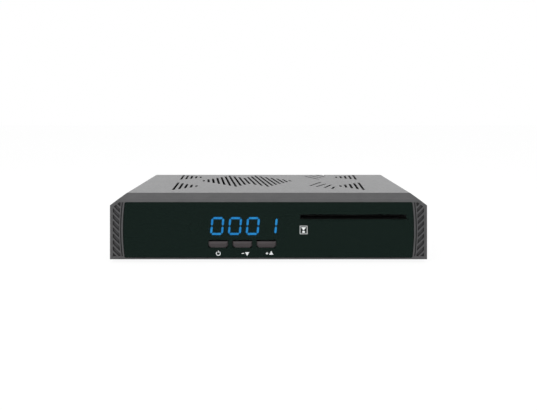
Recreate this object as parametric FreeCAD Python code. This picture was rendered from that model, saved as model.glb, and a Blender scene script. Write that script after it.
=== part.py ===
import FreeCAD, Part
import math
import os

# Satellite television receiver with a smart card slot, in millimetres.
# +X is to the right seen from the front, +Y goes from the front to the back, +Z is up.
# The origin is under the middle of the whole object, on the surface that it stands on.

# Case, made of a moulded front and a folded sheet steel base and cover
width = 180.0
height = 37.0  # without the feet
body_depth = 120.0  # front rim to the back of the cover
side_height = 30.6  # where the upright sides turn into the roof's chamfers
roof_width = 163.0
sheet = 0.8
bend_radius = 1.8  # outside of each fold
cover_gap = 0.15  # between pieces that slip into each other
seam = 0.4  # the line between the front and the cover

# Moulded front
bezel_depth = 7.0
skirt_length = 5.0  # the rim that reaches under the cover
skirt_wall = 1.6
facet_drop = 3.4  # how far the top edge slopes down towards the front
edge_chamfer = 0.9
pan_thickness = 1.8  # the wall behind the window

# Smoked window over almost all of the front
window_half = 81.5  # half its width at the corners
window_bow = 0.9  # how far its sides bulge
window_low = 1.1  # above the bottom of the front
window_high = 32.4
window_corner = 0.8
bow_sides = 8
corner_sides = 4
window_thickness = 2.0
window_recess = 0.5
window_gap = 0.12

# Rim, groove and lattice of the two cheeks beside the window
rim_width = 1.0
groove_width = 0.6
groove_depth = 0.7
inner_frame = 0.6
outer_frame = 1.9
lattice_depth = 0.9
lattice_pitch = 3.6
lattice_rib = 0.9

# Three push buttons under the display
button_width = 11.0
button_height = 4.1
button_pitch = 13.65
button_x = -14.8  # the middle button
button_z = 8.8  # above the bottom of the front
button_corner = 1.0
button_bevel = 0.5
button_proud = 1.2  # in front of the window
button_gap = 0.15
button_flange = 0.75
flange_thickness = 1.0
stem_width = 4.6
stem_height = 2.6
button_travel = 0.4
rest_gap = 0.05

# Push switches behind the buttons
switch_size = 6.0
switch_depth = 3.5
plunger_radius = 1.75
plunger_reach = 1.5
plunger_insert = 1.2
plunger_gap = 0.06

# Four digit display
digit_pitch = 10.16
digit_count = 4
digit_width = 7.4
digit_height = 10.2
digit_lean = 5.0  # degrees
segment_width = 1.2
segment_gap = 0.25
segment_relief = 0.15
point_radius = 0.6
display_x = -14.05
display_depth = 7.0
display_height = 12.8
display_gap = 0.4  # between the module and the buttons' flanges
display_clearance = 0.2  # between the module's face and the pan

# Front circuit board
board_thickness = 1.6
sensor_zone = 16.0  # board width to the left of the display
board_margin = 7.0  # board width to the right of it
board_low = 4.5
board_high = 30.5
boss_radius = 2.6
boss_inset = 3.6
small_screw_radius = 1.0
sensor_width = 6.0
sensor_height = 7.0
sensor_depth = 4.0
sensor_dome = 2.2
sensor_window = 3.0

# Smart card slot and reader
slot_x = 48.1
slot_z = 24.3
slot_width = 60.2
slot_height = 1.6
slot_dish = 1.3  # the shallow hollow round the slot in the window
dish_depth = 0.4
collar_length = 4.2
collar_wall = 1.2
card_width = 54.0
card_thickness = 0.76
card_clearance = 0.24
reader_length = 50.0
reader_side = 2.4
reader_floor = 2.0
reader_roof = 1.2
reader_stop = 3.0
reader_gap = 0.3
contact_pitch = 2.54
contact_count = 4  # in each of two rows
contact_width = 1.2
contact_strip = 0.25
contact_length = 6.0
contact_rise = 0.35
contact_row_depths = (22.0, 31.0)  # behind the reader's mouth
card_board_margin = 5.9
card_board_setback = 7.2
card_board_tail = 4.0
card_screw_inset = 2.9
card_screw_margin = 8.0

# Base, standoffs and feet
flange_height = 12.0
standoff_height = 5.0
standoff_base = 5.0
standoff_top = 3.4
screw_radius = 1.45
screw_head_radius = 2.7
screw_head = 1.5
head_sides = 8  # few, because there are many screws
shank_sides = 6
hole_sides = 8
ring_sides = 16
thread_gap = 0.05
hole_gap = 0.25
foot_radius = 6.5
foot_height = 2.0
foot_taper = 0.5
foot_sides = 20
foot_x = 66.0
foot_setback = 20.0
vent_tip = 0.35  # of a vent's width
floor_vent_x = 38.0
floor_vent_length = 22.0
floor_vent_width = 2.4
floor_vent_pitch = 7.0
floor_vent_count = 6
tab_width = 12.0
tab_length = 12.0
tab_thickness = 3.0
tab_x = 50.0

# Cover vents
vent_width = 1.5
vent_pitch = 3.2
vent_middle = 69.5  # behind the cover's front edge
diamond_x = -14.5
diamond_columns = 9  # on each side of the middle column
diamond_peak = 3  # the column that reaches furthest
diamond_notch_half = 19.5
diamond_peak_half = 36.0
diamond_tip_half = 3.5
diamond_lean = 7.0  # degrees
diamond_fan = 2.0  # degrees more at the right tip and less at the left one
corner_columns = 5
corner_x = 57.8
corner_half = 21.0
corner_step = 4.3
corner_front = 36.2
corner_rear = 94.0
corner_rear_half = 15.5
corner_rear_step = 2.9
corner_lean = 2.5
slant_vents = (  # front and back end of each, to the right of the diamond
    ((26.0, 37.6), (34.3, 60.0)),
    ((29.7, 32.6), (36.8, 49.8)),
    ((34.4, 26.9), (39.5, 43.2)),
    ((38.5, 21.2), (40.7, 32.2)),
)
side_vent_count = 10
side_vent_pitch = 5.4
side_vent_length = 9.0
side_vent_width = 1.8
side_vent_z = 20.0
lip_height = 7.0
lip_half = 76.0
roof_flange_depth = 6.0
lip_screw_x = 62.0
lip_screw_drop = 3.9
side_screw_z = 6.5
wall_gap = 0.1

# Main circuit board and what it carries
main_board_half = 82.0
main_board_front = 20.0  # behind the rim
main_board_gap = 0.5  # to the rear wall
board_hole_inset = 3.2  # from the main board's sides
board_hole_front = 14.0
board_hole_rear = 24.0
middle_hole = (4.0, 44.0)  # from the middle and from the board's front edge
tuner_x = -60.0
tuner_width = 32.0
tuner_length = 42.0
tuner_height = 13.0
tuner_wall = 0.5
tuner_gap = 0.3
trim_hole = 1.5
aerial_pitch = 16.0
aerial_z = 6.8  # above the board
thread_radius = 4.76
thread_bore = 3.4
thread_reach = 11.0  # behind the cover
thread_cup = 8.0
shank_relief = 0.2  # where a barrel passes its wall and nut
shank_clear = 0.3
insulator_drop = 2.0
contact_hole = 0.6
washer_radius = 7.2
washer_thickness = 0.8
nut_flats = 11.1
nut_thickness = 2.4
processor_size = 27.0
processor_height = 2.2
pad_thickness = 0.5
sink_size = 40.0
sink_base = 3.0
sink_fin_height = 9.0
sink_fin = 1.2
sink_fins = 9
sink_x = -16.0
sink_y = 70.0  # behind the rim
sink_pin_inset = 4.0
sink_pin_head = 2.6
sink_pin_room = 3.4
pin_radius = 1.4
memory_size = (12.0, 20.0, 1.2)
memory_gap = 3.0
memory_shift = 2.0
capacitor_edge = 0.6
capacitor_places = (  # x, behind the rim, radius, height
    (66.0, 84.0, 5.0, 12.5),
    (53.0, 84.0, 5.0, 12.5),
    (76.0, 72.0, 4.0, 11.0),
    (40.0, 80.0, 4.0, 11.0),
    (-10.0, 98.0, 4.0, 11.0),
)
inductor_places = ((34.0, 66.0), (64.0, 70.0))  # x, behind the rim
inductor_size = 10.0
inductor_base = 1.0
inductor_core = 4.6
inductor_height = 4.0
ribbon_x = -30.0
ribbon_z = 17.0
ribbon_width = 12.0
ribbon_thickness = 0.3
ribbon_bend = 3.0
ribbon_lead = 4.0
header_width = 16.0
header_depth = 4.0
header_height = 5.0
main_header_height = 3.0

# Sockets in the rear wall
video_x = -27.0
video_width = 15.0
video_height = 5.9
video_length = 11.5
video_wall = 0.5
data_x = -8.0
data_width = 13.2
data_height = 5.8
data_length = 14.0
data_wall = 0.5
data_leg = 0.6
data_lift = 1.0
jack_x = 9.0
jack_block = 10.0
jack_height = 13.0
jack_depth = 9.0
jack_z = 8.0  # above the board
jack_radius = 4.15
jack_reach = 9.0
jack_wall = 0.5
jack_hole = 1.6
av_x = 43.0
av_width = 52.0
av_height = 20.0
av_depth = 16.0
av_shroud_width = 47.4
av_shroud_height = 13.6
av_shroud_slope = 7.0
av_shroud_wall = 1.0
av_reach = 5.0
av_recess = 5.5
av_z = 10.5  # above the board
av_pitch = 3.81
av_columns = 10
av_row = 6.4  # between the two rows of contacts
inlet_x = 76.0
inlet_width = 9.0
inlet_height = 11.0
inlet_depth = 13.5
inlet_z = 6.5
inlet_bore = 3.0
inlet_bore_depth = 9.5
inlet_pin = 1.05
pin_recess = 1.0
socket_proud = 0.6
cutout_gap = 0.25

# Places worked out from the sizes above
button_stick = button_proud - window_recess
rim_y = button_stick - (button_stick + body_depth + thread_reach) / 2
rear_y = rim_y + body_depth
base_z = foot_height
top_z = base_z + height
bezel_back_y = rim_y + bezel_depth
skirt_end_y = bezel_back_y + skirt_length
cover_front_y = bezel_back_y + seam
window_y = rim_y + window_recess
pan_y = window_y + window_thickness
pan_back_y = pan_y + pan_thickness
display_y = pan_back_y + display_clearance
board_y = display_y + display_depth
switch_y = board_y - switch_depth
plunger_y = switch_y - plunger_reach
inner_inset = sheet + cover_gap
cavity_inset = inner_inset + skirt_wall
button_xs = [button_x + step * button_pitch for step in (-1, 0, 1)]
button_mid_z = base_z + button_z
display_low_z = button_mid_z + button_height / 2 + button_flange + display_gap
display_mid_z = display_low_z + display_height / 2
display_width = digit_pitch * digit_count - 0.4
front_board_x = (display_x - display_width / 2 - sensor_zone, display_x + display_width / 2 + board_margin)
front_board_z = (base_z + board_low, base_z + board_high)
sensor_x = front_board_x[0] + sensor_zone / 2
slot_mid_z = base_z + slot_z
channel_height = card_thickness + card_clearance
channel_width = card_width + 2 * card_clearance
reader_y = pan_back_y + collar_length + reader_gap
reader_half = channel_width / 2 + reader_side
reader_low_z = slot_mid_z - channel_height / 2 - reader_floor
floor_z = base_z + sheet
board_low_z = floor_z + standoff_height
board_top_z = board_low_z + board_thickness
card_board_y = (reader_y + card_board_setback, reader_y + reader_length + card_board_tail)
card_board_half = reader_half + card_board_margin
card_board_low_z = reader_low_z - board_thickness
wall_out_y = rear_y - sheet - wall_gap
wall_in_y = wall_out_y - sheet
main_board_y = (rim_y + main_board_front, wall_in_y - main_board_gap)
aerial_xs = [tuner_x - aerial_pitch / 2, tuner_x + aerial_pitch / 2]
aerial_mid_z = board_top_z + aerial_z
tuner_back_y = wall_in_y - tuner_gap
processor_top_z = board_top_z + processor_height
sink_low_z = processor_top_z + pad_thickness
sink_mid_y = rim_y + sink_y
header_y = board_y + board_thickness


def span(middle, size):
    return (middle - size / 2, middle + size / 2)


def block(x, y, z):
    """Box between the low and high value of each axis."""
    return Part.makeBox(x[1] - x[0], y[1] - y[0], z[1] - z[0], FreeCAD.Vector(x[0], y[0], z[0]))


def rod(axis, x, y, z, radius, length):
    """Cylinder of the given length from its start point towards +X, +Y or +Z."""
    direction = {"x": (1, 0, 0), "y": (0, 1, 0), "z": (0, 0, 1)}[axis]
    return Part.makeCylinder(radius, length, FreeCAD.Vector(x, y, z), FreeCAD.Vector(*direction))


def rounded_face(points, radii):
    """Flat face through points, each corner rounded to its radius."""
    runs = []
    for i, corner in enumerate(points):
        if radii[i] <= 0:
            runs.append((corner, None, corner))
            continue
        before = (points[i - 1] - corner).normalize()
        after = (points[(i + 1) % len(points)] - corner).normalize()
        half = before.getAngle(after) / 2
        reach = radii[i] / math.tan(half)
        crown = corner + (before + after).normalize() * (radii[i] / math.sin(half) - radii[i])
        runs.append((corner + before * reach, crown, corner + after * reach))
    edges = []
    for i, (start, crown, end) in enumerate(runs):
        if crown:
            edges.append(Part.Arc(start, crown, end).toShape())
        edges.append(Part.makeLine(end, runs[(i + 1) % len(runs)][0]))
    return Part.Face(Part.Wire(edges))


def prism(axis, corners, reach, radii=0.0):
    """Outline in the plane across an axis, drawn out from reach[0] to reach[1] along it."""
    low, high = reach
    if axis == "x":
        points = [FreeCAD.Vector(low, a, b) for a, b in corners]
        travel = FreeCAD.Vector(high - low, 0, 0)
    elif axis == "y":
        points = [FreeCAD.Vector(a, low, b) for a, b in corners]
        travel = FreeCAD.Vector(0, high - low, 0)
    else:
        points = [FreeCAD.Vector(a, b, low) for a, b in corners]
        travel = FreeCAD.Vector(0, 0, high - low)
    if isinstance(radii, float):
        radii = [radii] * len(corners)
    return rounded_face(points, radii).extrude(travel)


def plate(axis, a, b, reach, radius=0.0):
    """Rectangle with round corners, between the pairs a and b, drawn out along an axis."""
    corners = [(a[0], b[0]), (a[1], b[0]), (a[1], b[1]), (a[0], b[1])]
    return prism(axis, corners, reach, radius)


def joined(shapes):
    return shapes[0].multiFuse(shapes[1:]).removeSplitter() if len(shapes) > 1 else shapes[0]


def save(name, shapes):
    """Writes one piece, or one group of separate like pieces, to its own file."""
    shape = shapes if isinstance(shapes, Part.Shape) else Part.makeCompound(shapes)
    shape.exportStep(os.path.join("parts", name + ".step"))


def case_corners(inset, low=None):
    """Chamfered outline of the case drawn in by inset, with its bottom edge at low."""
    half = width / 2
    roof_half = roof_width / 2
    chamfer = math.atan2(height - side_height, half - roof_half)
    shoulder = inset * math.tan((math.pi / 2 - chamfer) / 2)
    brow = inset * math.tan(chamfer / 2)
    if low is None:
        low = base_z + inset
    right = [
        (half - inset, low),
        (half - inset, base_z + side_height - shoulder),
        (roof_half - brow, top_z - inset),
    ]
    return right + [(-x, z) for x, z in reversed(right)]


def case_prism(inset, y, low=None):
    """The case's outline drawn in by inset and drawn out from y[0] to y[1], with folded edges."""
    fold = max(bend_radius - inset, 0.2)
    return prism("y", case_corners(inset, low), y, [0.0, fold, fold, fold, fold, 0.0])


def window_prism(offset, y):
    """The window's bowed outline grown by offset, drawn out from y[0] to y[1]."""
    half = window_half - window_corner
    low = base_z + window_low + window_corner
    high = base_z + window_high - window_corner
    middle = (low + high) / 2
    bow = bow_radius() + window_corner + offset
    centre = half + window_bow - bow_radius()
    swing = math.asin((high - middle) / bow_radius())
    side = []
    for i in range(bow_sides + 1):
        angle = -swing + 2 * swing * i / bow_sides
        side.append((centre + bow * math.cos(angle), middle + bow * math.sin(angle)))
    grown = window_corner + offset
    upper = []
    for i in range(1, corner_sides + 1):
        angle = swing + (math.pi / 2 - swing) * i / corner_sides
        upper.append((half + grown * math.cos(angle), high + grown * math.sin(angle)))
    lower = [(x, 2 * middle - z) for x, z in reversed(upper)]
    right = lower + side + upper
    corners = right + [(-x, z) for x, z in reversed(right)]
    return prism("y", corners, y)


def bow_radius():
    """Radius of the arc through the ends and the bowed middle of the window's sides."""
    half_high = (window_high - window_low) / 2 - window_corner
    return (half_high ** 2 + window_bow ** 2) / (2 * window_bow)


def ring(x, y, z, axis, radius, sides):
    """Corners of a regular polygon round an axis through a point, with the first repeated at the end."""
    turn = FreeCAD.Rotation(FreeCAD.Vector(0, 0, 1), FreeCAD.Vector(*axis))
    points = []
    for i in range(sides + 1):
        angle = 2 * math.pi * (i % sides) / sides
        corner = turn.multVec(FreeCAD.Vector(radius * math.cos(angle), radius * math.sin(angle), 0))
        points.append(FreeCAD.Vector(x, y, z) + corner)
    return points


def facet_rod(profile, x, y, z, axis, sides):
    """Small turned shape with few flat sides, through (radius, height) rings along an axis from a point."""
    rings = [ring(x + axis[0] * h, y + axis[1] * h, z + axis[2] * h, axis, r, sides) for r, h in profile]
    faces = [Part.Face(Part.makePolygon(rings[0])), Part.Face(Part.makePolygon(rings[-1]))]
    for low, high in zip(rings, rings[1:]):
        for i in range(sides):
            corners = [low[i], low[i + 1], high[i + 1], high[i], low[i]]
            faces.append(Part.Face(Part.makePolygon(corners)))
    shell = Part.makeShell(faces)
    shell.sewShape()
    solid = Part.makeSolid(shell)
    return solid if solid.Volume > 0 else solid.reversed()


def facet_hole(axis, x, y, z, radius, length, sides=hole_sides):
    """Plain clearance hole with few sides, which clears the whole radius."""
    direction = {"x": (1, 0, 0), "y": (0, 1, 0), "z": (0, 0, 1)}[axis]
    outer = radius / math.cos(math.pi / sides)
    return facet_rod([(outer, 0), (outer, length)], x, y, z, direction, sides)


def facet_pin(x, y, z, radius, length, sides=ring_sides):
    """Plain round pin with few sides, from a point towards the rear."""
    return facet_rod([(radius, 0), (radius, length)], x, y, z, (0, 1, 0), sides)


def screw(x, y, z, axis, radius, head_radius, head, length):
    """Screw with its head's seat at a point and its shank along axis."""
    top = facet_rod([(head_radius, 0), (head_radius, -head * 0.6), (head_radius * 0.65, -head)],
                    x, y, z, axis, head_sides)
    shank = facet_rod([(radius, -head * 0.5), (radius, length)], x, y, z, axis, shank_sides)
    return joined([top, shank])


def pan_screw(x, y, z, axis, length):
    """Screw of the case and the boards."""
    return screw(x, y, z, axis, screw_radius, screw_head_radius, screw_head, length)


def small_screw(x, y, z, axis, length):
    """Screw of the front board."""
    return screw(x, y, z, axis, small_screw_radius, small_screw_radius * 1.9, small_screw_radius, length)


def lattice_cutter(side):
    """Recesses between the slanting ribs of one cheek; side is -1 for left and 1 for right."""
    reach = (rim_y - 1, rim_y + lattice_depth)
    half = width / 2
    field = prism("y", case_corners(outer_frame), reach)
    field = field.cut(window_prism(rim_width + groove_width + inner_frame, reach))
    edge_zone = span(side * half, 2 * (half - window_half + window_corner))
    field = field.common(block(edge_zone, reach, (base_z, base_z + window_high)))
    run = half
    rib_height = lattice_rib * math.sqrt(2)
    count = int((height + run) / lattice_pitch) + 1
    outer = side * half
    ribs = []
    for i in range(count):
        low = base_z + i * lattice_pitch - lattice_pitch * 0.35
        inner = outer - side * 12
        corners = [
            (outer, low),
            (inner, low - 12),
            (inner, low - 12 + rib_height),
            (outer, low + rib_height),
        ]
        ribs.append(prism("y", corners, reach))
    return field.cut(ribs)


def make_front_bezel():
    """Moulded front with its recess for the window, its cheeks and what its back carries."""
    shell = prism("y", case_corners(0.0), (rim_y, bezel_back_y))
    slope = [
        (rim_y - 1, top_z - facet_drop * (1 + 1 / bezel_depth)),
        (bezel_back_y, top_z),
        (bezel_back_y, top_z + 1),
        (rim_y - 1, top_z + 1),
    ]
    shell = shell.cut(prism("x", slope, (-width, width)))
    front_edges = []
    for edge in shell.Edges:
        ends = [vertex.Point for vertex in edge.Vertexes]
        if all(abs(end.y - rim_y) < 0.001 for end in ends):
            if min(abs(end.x) for end in ends) > roof_width / 2:
                front_edges.append(edge)
    shell = shell.makeChamfer(edge_chamfer, front_edges)
    skirt = prism("y", case_corners(inner_inset), (bezel_back_y - 0.5, skirt_end_y))
    cavity = prism("y", case_corners(cavity_inset), (pan_back_y, skirt_end_y + 1))
    shell = shell.fuse(skirt).cut(cavity)
    shell = shell.cut(window_prism(window_gap, (rim_y - 1, pan_y)))
    groove = window_prism(rim_width + groove_width, (rim_y - 1, rim_y + groove_depth))
    groove = groove.cut(window_prism(rim_width, (rim_y - 1, rim_y + groove_depth)))
    for side in (-1, 1):
        edge_zone = span(side * width / 2, 2 * (width / 2 - window_half + window_corner))
        zone = block(edge_zone, (rim_y - 1, rim_y + groove_depth), (base_z + outer_frame, base_z + window_high))
        shell = shell.cut(groove.common(zone)).cut(lattice_cutter(side))
    additions = [front_board_boss(x, z) for x, z in front_board_holes()]
    additions.append(card_collar())
    additions += [bezel_tab(x) for x in (-tab_x, tab_x)]
    shell = shell.fuse(additions)
    cutters = [facet_hole("y", x, pan_back_y, z, small_screw_radius + thread_gap, board_y - pan_back_y + 1)
               for x, z in front_board_holes()]
    display_half = display_width / 2 - display_gap
    cutters.append(block(span(display_x, 2 * display_half), (pan_y - 1, pan_back_y + 1),
                         span(display_mid_z, display_height - 2 * display_gap)))
    cutters.append(facet_hole("y", sensor_x, pan_y - 1, display_mid_z, sensor_window, pan_thickness + 2))
    cutters += [button_well(x, (pan_y - 1, pan_back_y + 1)) for x in button_xs]
    cutters.append(card_funnel())
    cutters += [facet_hole("z", x, tab_hole_y(), floor_z - 1, screw_radius + thread_gap, tab_thickness + 2)
                for x in (-tab_x, tab_x)]
    return shell.cut(cutters).removeSplitter()


def front_board_holes():
    """Centres of the front board's four screws, as (x, z)."""
    xs = (front_board_x[0] + boss_inset, front_board_x[1] - boss_inset)
    zs = (front_board_z[0] + boss_inset, front_board_z[1] - boss_inset)
    return [(x, z) for x in xs for z in zs]


def front_board_boss(x, z):
    """Tapered post from the pan to the front board."""
    return facet_rod([(boss_radius + 0.3, 0), (boss_radius, board_y - pan_back_y)],
                     x, pan_back_y, z, (0, 1, 0), head_sides)


def card_collar():
    """Walls that guide the card from the window to the reader."""
    half = slot_width / 2 + collar_wall
    return block(span(slot_x, 2 * half), (pan_back_y - 0.5, pan_back_y + collar_length),
                 span(slot_mid_z, slot_height + 2 * collar_wall))


def card_funnel():
    """The slot through the pan and its collar, which narrows from the window's slot to the reader."""
    rings = []
    for y, wide, high in (
        (pan_y - 0.01, slot_width, slot_height),
        (pan_back_y + collar_length + 0.01, channel_width + card_clearance, channel_height + card_clearance),
    ):
        x = span(slot_x, wide)
        z = span(slot_mid_z, high)
        corners = [(x[0], z[0]), (x[1], z[0]), (x[1], z[1]), (x[0], z[1]), (x[0], z[0])]
        rings.append(Part.makePolygon([FreeCAD.Vector(a, y, b) for a, b in corners]))
    return Part.makeLoft(rings, True, True)


def tab_hole_y():
    return skirt_end_y + tab_length / 2


def bezel_tab(x):
    """Foot of the front that lies on the base's floor and takes a screw from below."""
    return block(span(x, tab_width), (skirt_end_y - 3, skirt_end_y + tab_length),
                 (floor_z, floor_z + tab_thickness))


def button_well(x, y):
    """Room for one button through the window or the pan."""
    wide = span(x, button_width + 2 * button_gap)
    high = span(button_mid_z, button_height + 2 * button_gap)
    low_corner = button_corner + button_gap
    corners = [(wide[0], high[0]), (wide[1], high[0]), (wide[1], high[1]), (wide[0], high[1])]
    return prism("y", corners, y, [low_corner, low_corner, 0.0, 0.0])


def card_slot(y, grow=0.0):
    """The slot's outline, grown all round with round corners."""
    return plate("y", span(slot_x, slot_width + 2 * grow), span(slot_mid_z, slot_height + 2 * grow), y, grow)


def make_front_window():
    """Smoked window with wells for the buttons and the card slot in its shallow dish."""
    window = window_prism(0.0, (window_y, pan_y))
    cutters = [button_well(x, (window_y - 1, pan_y + 1)) for x in button_xs]
    cutters.append(card_slot((window_y - 1, pan_y + 1)))
    cutters.append(card_slot((window_y - 1, window_y + dish_depth), slot_dish))
    return window.cut(cutters)


def make_button(x):
    """Cap with a bevelled face, the flange that holds it behind the pan and a stem to its switch."""
    front = window_y - button_proud
    flange_y = pan_back_y + rest_gap
    wide = span(x, button_width)
    high = span(button_mid_z, button_height)
    corners = [(wide[0], high[0]), (wide[1], high[0]), (wide[1], high[1]), (wide[0], high[1])]
    cap = prism("y", corners, (front, flange_y), [button_corner, button_corner, 0.0, 0.0])
    rim = [edge for edge in cap.Edges
           if all(abs(vertex.Point.y - front) < 0.001 for vertex in edge.Vertexes)]
    cap = cap.makeChamfer(button_bevel, rim)
    flange = block(span(x, button_width + 2 * button_flange), (flange_y, flange_y + flange_thickness),
                   span(button_mid_z, button_height + 2 * button_flange))
    stem = block(span(x, stem_width), (flange_y + flange_thickness, plunger_y),
                 span(button_mid_z, stem_height))
    return joined([cap, flange, stem])


def make_plunger(x):
    """Round plunger of one push switch, which the button's stem presses."""
    return facet_pin(x, plunger_y, button_mid_z, plunger_radius, plunger_reach + plunger_insert, head_sides)


def make_switch_housing(x):
    """Square housing of one push switch, with the bore that its plunger slides in."""
    housing = block(span(x, switch_size), (switch_y, board_y), span(button_mid_z, switch_size))
    depth = plunger_insert + button_travel + plunger_gap
    return housing.cut(facet_hole("y", x, switch_y - 1, button_mid_z, plunger_radius + plunger_gap, depth + 1))


def make_front_board():
    board = block(front_board_x, (board_y, board_y + board_thickness), front_board_z)
    return board.cut([facet_hole("y", x, board_y - 1, z, small_screw_radius + hole_gap, board_thickness + 2)
                      for x, z in front_board_holes()])


def make_front_board_screws():
    back = board_y + board_thickness
    length = board_thickness + (board_y - pan_back_y) * 0.7
    return [small_screw(x, back, z, (0, -1, 0), length) for x, z in front_board_holes()]


def make_display():
    return block(span(display_x, display_width), (display_y, board_y), span(display_mid_z, display_height))


def segment_prism(a, b, centre_x):
    """One segment between two joints of a digit, as a long hexagon with pointed ends."""
    along = FreeCAD.Vector(b[0] - a[0], 0, b[1] - a[1])
    along.normalize()
    across = FreeCAD.Vector(-along.z, 0, along.x) * (segment_width / 2)
    start = FreeCAD.Vector(a[0], 0, a[1]) + along * segment_gap
    end = FreeCAD.Vector(b[0], 0, b[1]) - along * segment_gap
    point = along * (segment_width / 2)
    ring = [start, start + point + across, end - point + across,
            end, end - point - across, start + point - across]
    lean = math.tan(math.radians(digit_lean))
    corners = [(centre_x + p.x + p.z * lean, display_mid_z + p.z) for p in ring]
    return prism("y", corners, (display_y - segment_relief, display_y))


def digit_segments(number, centre_x):
    """The seven segments of one digit, as a lit list and an unlit list."""
    half = (digit_width - segment_width) / 2
    tall = (digit_height - segment_width) / 2
    joints = {
        "top": ((-half, tall), (half, tall)),
        "upper_right": ((half, tall), (half, 0)),
        "lower_right": ((half, 0), (half, -tall)),
        "bottom": ((half, -tall), (-half, -tall)),
        "lower_left": ((-half, -tall), (-half, 0)),
        "upper_left": ((-half, 0), (-half, tall)),
        "middle": ((-half, 0), (half, 0)),
    }
    shown = {
        0: ("top", "upper_right", "lower_right", "bottom", "lower_left", "upper_left"),
        1: ("upper_right", "lower_right"),
    }[number]
    lit = [segment_prism(a, b, centre_x) for name, (a, b) in joints.items() if name in shown]
    unlit = [segment_prism(a, b, centre_x) for name, (a, b) in joints.items() if name not in shown]
    return lit, unlit


def make_segments():
    """All segments of the display, which shows 0001, and its four points."""
    lit, unlit = [], []
    for i, number in enumerate((0, 0, 0, 1)):
        centre_x = display_x + (i - (digit_count - 1) / 2) * digit_pitch
        on, off = digit_segments(number, centre_x)
        lit += on
        unlit += off
        point_x = centre_x + digit_pitch / 2 - point_radius - segment_gap
        point_z = display_mid_z - (digit_height - segment_width) / 2
        unlit.append(facet_pin(point_x, display_y - segment_relief, point_z, point_radius, segment_relief,
                               head_sides))
    return lit, unlit


def make_sensor():
    """Infrared receiver with its round lens, behind the window on the front board."""
    back = board_y
    body = block(span(sensor_x, sensor_width), (back - sensor_depth, back), span(display_mid_z, sensor_height))
    arcs = [(sensor_dome * math.cos(math.radians(a)), sensor_dome * math.sin(math.radians(a)))
            for a in (0, 30, 60, 80)]
    lens = facet_rod([(sensor_dome, -0.5)] + arcs, sensor_x, back - sensor_depth, display_mid_z,
                     (0, -1, 0), head_sides)
    return joined([body, lens])


def make_front_header():
    """Plug on the back of the front board that the ribbon cable leaves."""
    return block(span(ribbon_x, header_width), (header_y, header_y + header_depth), span(ribbon_z, header_height))


def make_main_header():
    y = header_y + header_depth + ribbon_lead + ribbon_bend
    return block(span(ribbon_x, header_width), span(y, header_depth),
                 (board_top_z, board_top_z + main_header_height))


def make_ribbon():
    """Flat cable that leaves the front board, bends down and ends in its plug on the main board."""
    start = header_y + header_depth
    turn = start + ribbon_lead
    low = board_top_z + main_header_height
    outer = ribbon_bend + ribbon_thickness / 2
    inner = ribbon_bend - ribbon_thickness / 2
    bend_z = ribbon_z - ribbon_bend
    corners = [
        (start, bend_z + outer),
        (start, bend_z + inner),
        (turn + inner, bend_z + inner),
        (turn + inner, low),
        (turn + outer, low),
        (turn + outer, bend_z + outer),
    ]
    radii = [0, 0, inner, 0, 0, outer]
    return prism("x", corners, span(ribbon_x, ribbon_width), radii)


def card_screw_places():
    """Centres of the card board's four screws, as (x, y)."""
    half = card_board_half - card_screw_inset
    ys = (card_board_y[0] + card_screw_margin, card_board_y[1] - card_screw_margin)
    return [(slot_x + side * half, y) for side in (-1, 1) for y in ys]


def make_card_board():
    board = block(span(slot_x, 2 * card_board_half), card_board_y, (card_board_low_z, reader_low_z))
    return board.cut([facet_hole("z", x, y, card_board_low_z - 1, screw_radius + hole_gap, board_thickness + 2)
                      for x, y in card_screw_places()])


def make_card_spacers():
    """Hexagonal pillars between the main board and the card board."""
    pillars = []
    for x, y in card_screw_places():
        corners = []
        for i in range(6):
            angle = math.radians(60 * i)
            corners.append((x + screw_head_radius * math.cos(angle), y + screw_head_radius * math.sin(angle)))
        pillar = prism("z", corners, (board_top_z, card_board_low_z))
        bore = facet_hole("z", x, y, card_board_low_z - 6, screw_radius + thread_gap, 7)
        pillars.append(pillar.cut(bore))
    return pillars


def make_card_screws():
    return [pan_screw(x, y, reader_low_z, (0, 0, -1), 6.0) for x, y in card_screw_places()]


def reader_contact_places():
    """Centres of the eight contacts under the card, as (x, y)."""
    places = []
    for depth in contact_row_depths:
        for i in range(contact_count):
            x = slot_x + (i - (contact_count - 1) / 2) * contact_pitch
            places.append((x, reader_y + depth))
    return places


def make_card_reader():
    """Moulded reader frame: floor, sides, stop and a roof with open panes over the card."""
    x = span(slot_x, 2 * reader_half)
    y = (reader_y, reader_y + reader_length)
    high = slot_mid_z + channel_height / 2 + reader_roof
    frame = block(x, y, (reader_low_z, high))
    channel = block(span(slot_x, channel_width), (reader_y - 1, y[1] - reader_stop),
                    span(slot_mid_z, channel_height))
    cutters = [channel]
    pane = (channel_width - 3 * reader_side) / 3
    for i in (-1, 0, 1):
        middle = slot_x + i * (pane + reader_side)
        cutters.append(block(span(middle, pane), (reader_y + 10, y[1] - reader_stop - 6),
                             (slot_mid_z, high + 1)))
    for cx, cy in reader_contact_places():
        cutters.append(block(span(cx, contact_width + 0.4), span(cy, contact_length + 0.4),
                             (reader_low_z - 1, slot_mid_z)))
    return frame.cut(cutters)


def make_card_contacts():
    """Eight springs that stand in slots in the reader's floor and rise a little into the card's path."""
    floor = slot_mid_z - channel_height / 2
    springs = []
    for x, y in reader_contact_places():
        half = contact_length / 2
        heights = [
            (-half, reader_low_z),
            (-half + 1.0, reader_low_z),
            (half * 0.3, floor + contact_rise - contact_strip),
            (half * 0.6, floor + contact_rise - contact_strip),
            (half, floor - 0.6),
        ]
        under = [(y + a, z) for a, z in heights]
        over = [(y + a, z + contact_strip) for a, z in reversed(heights)]
        springs.append(prism("x", under + over, span(x, contact_width)))
    return springs


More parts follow.
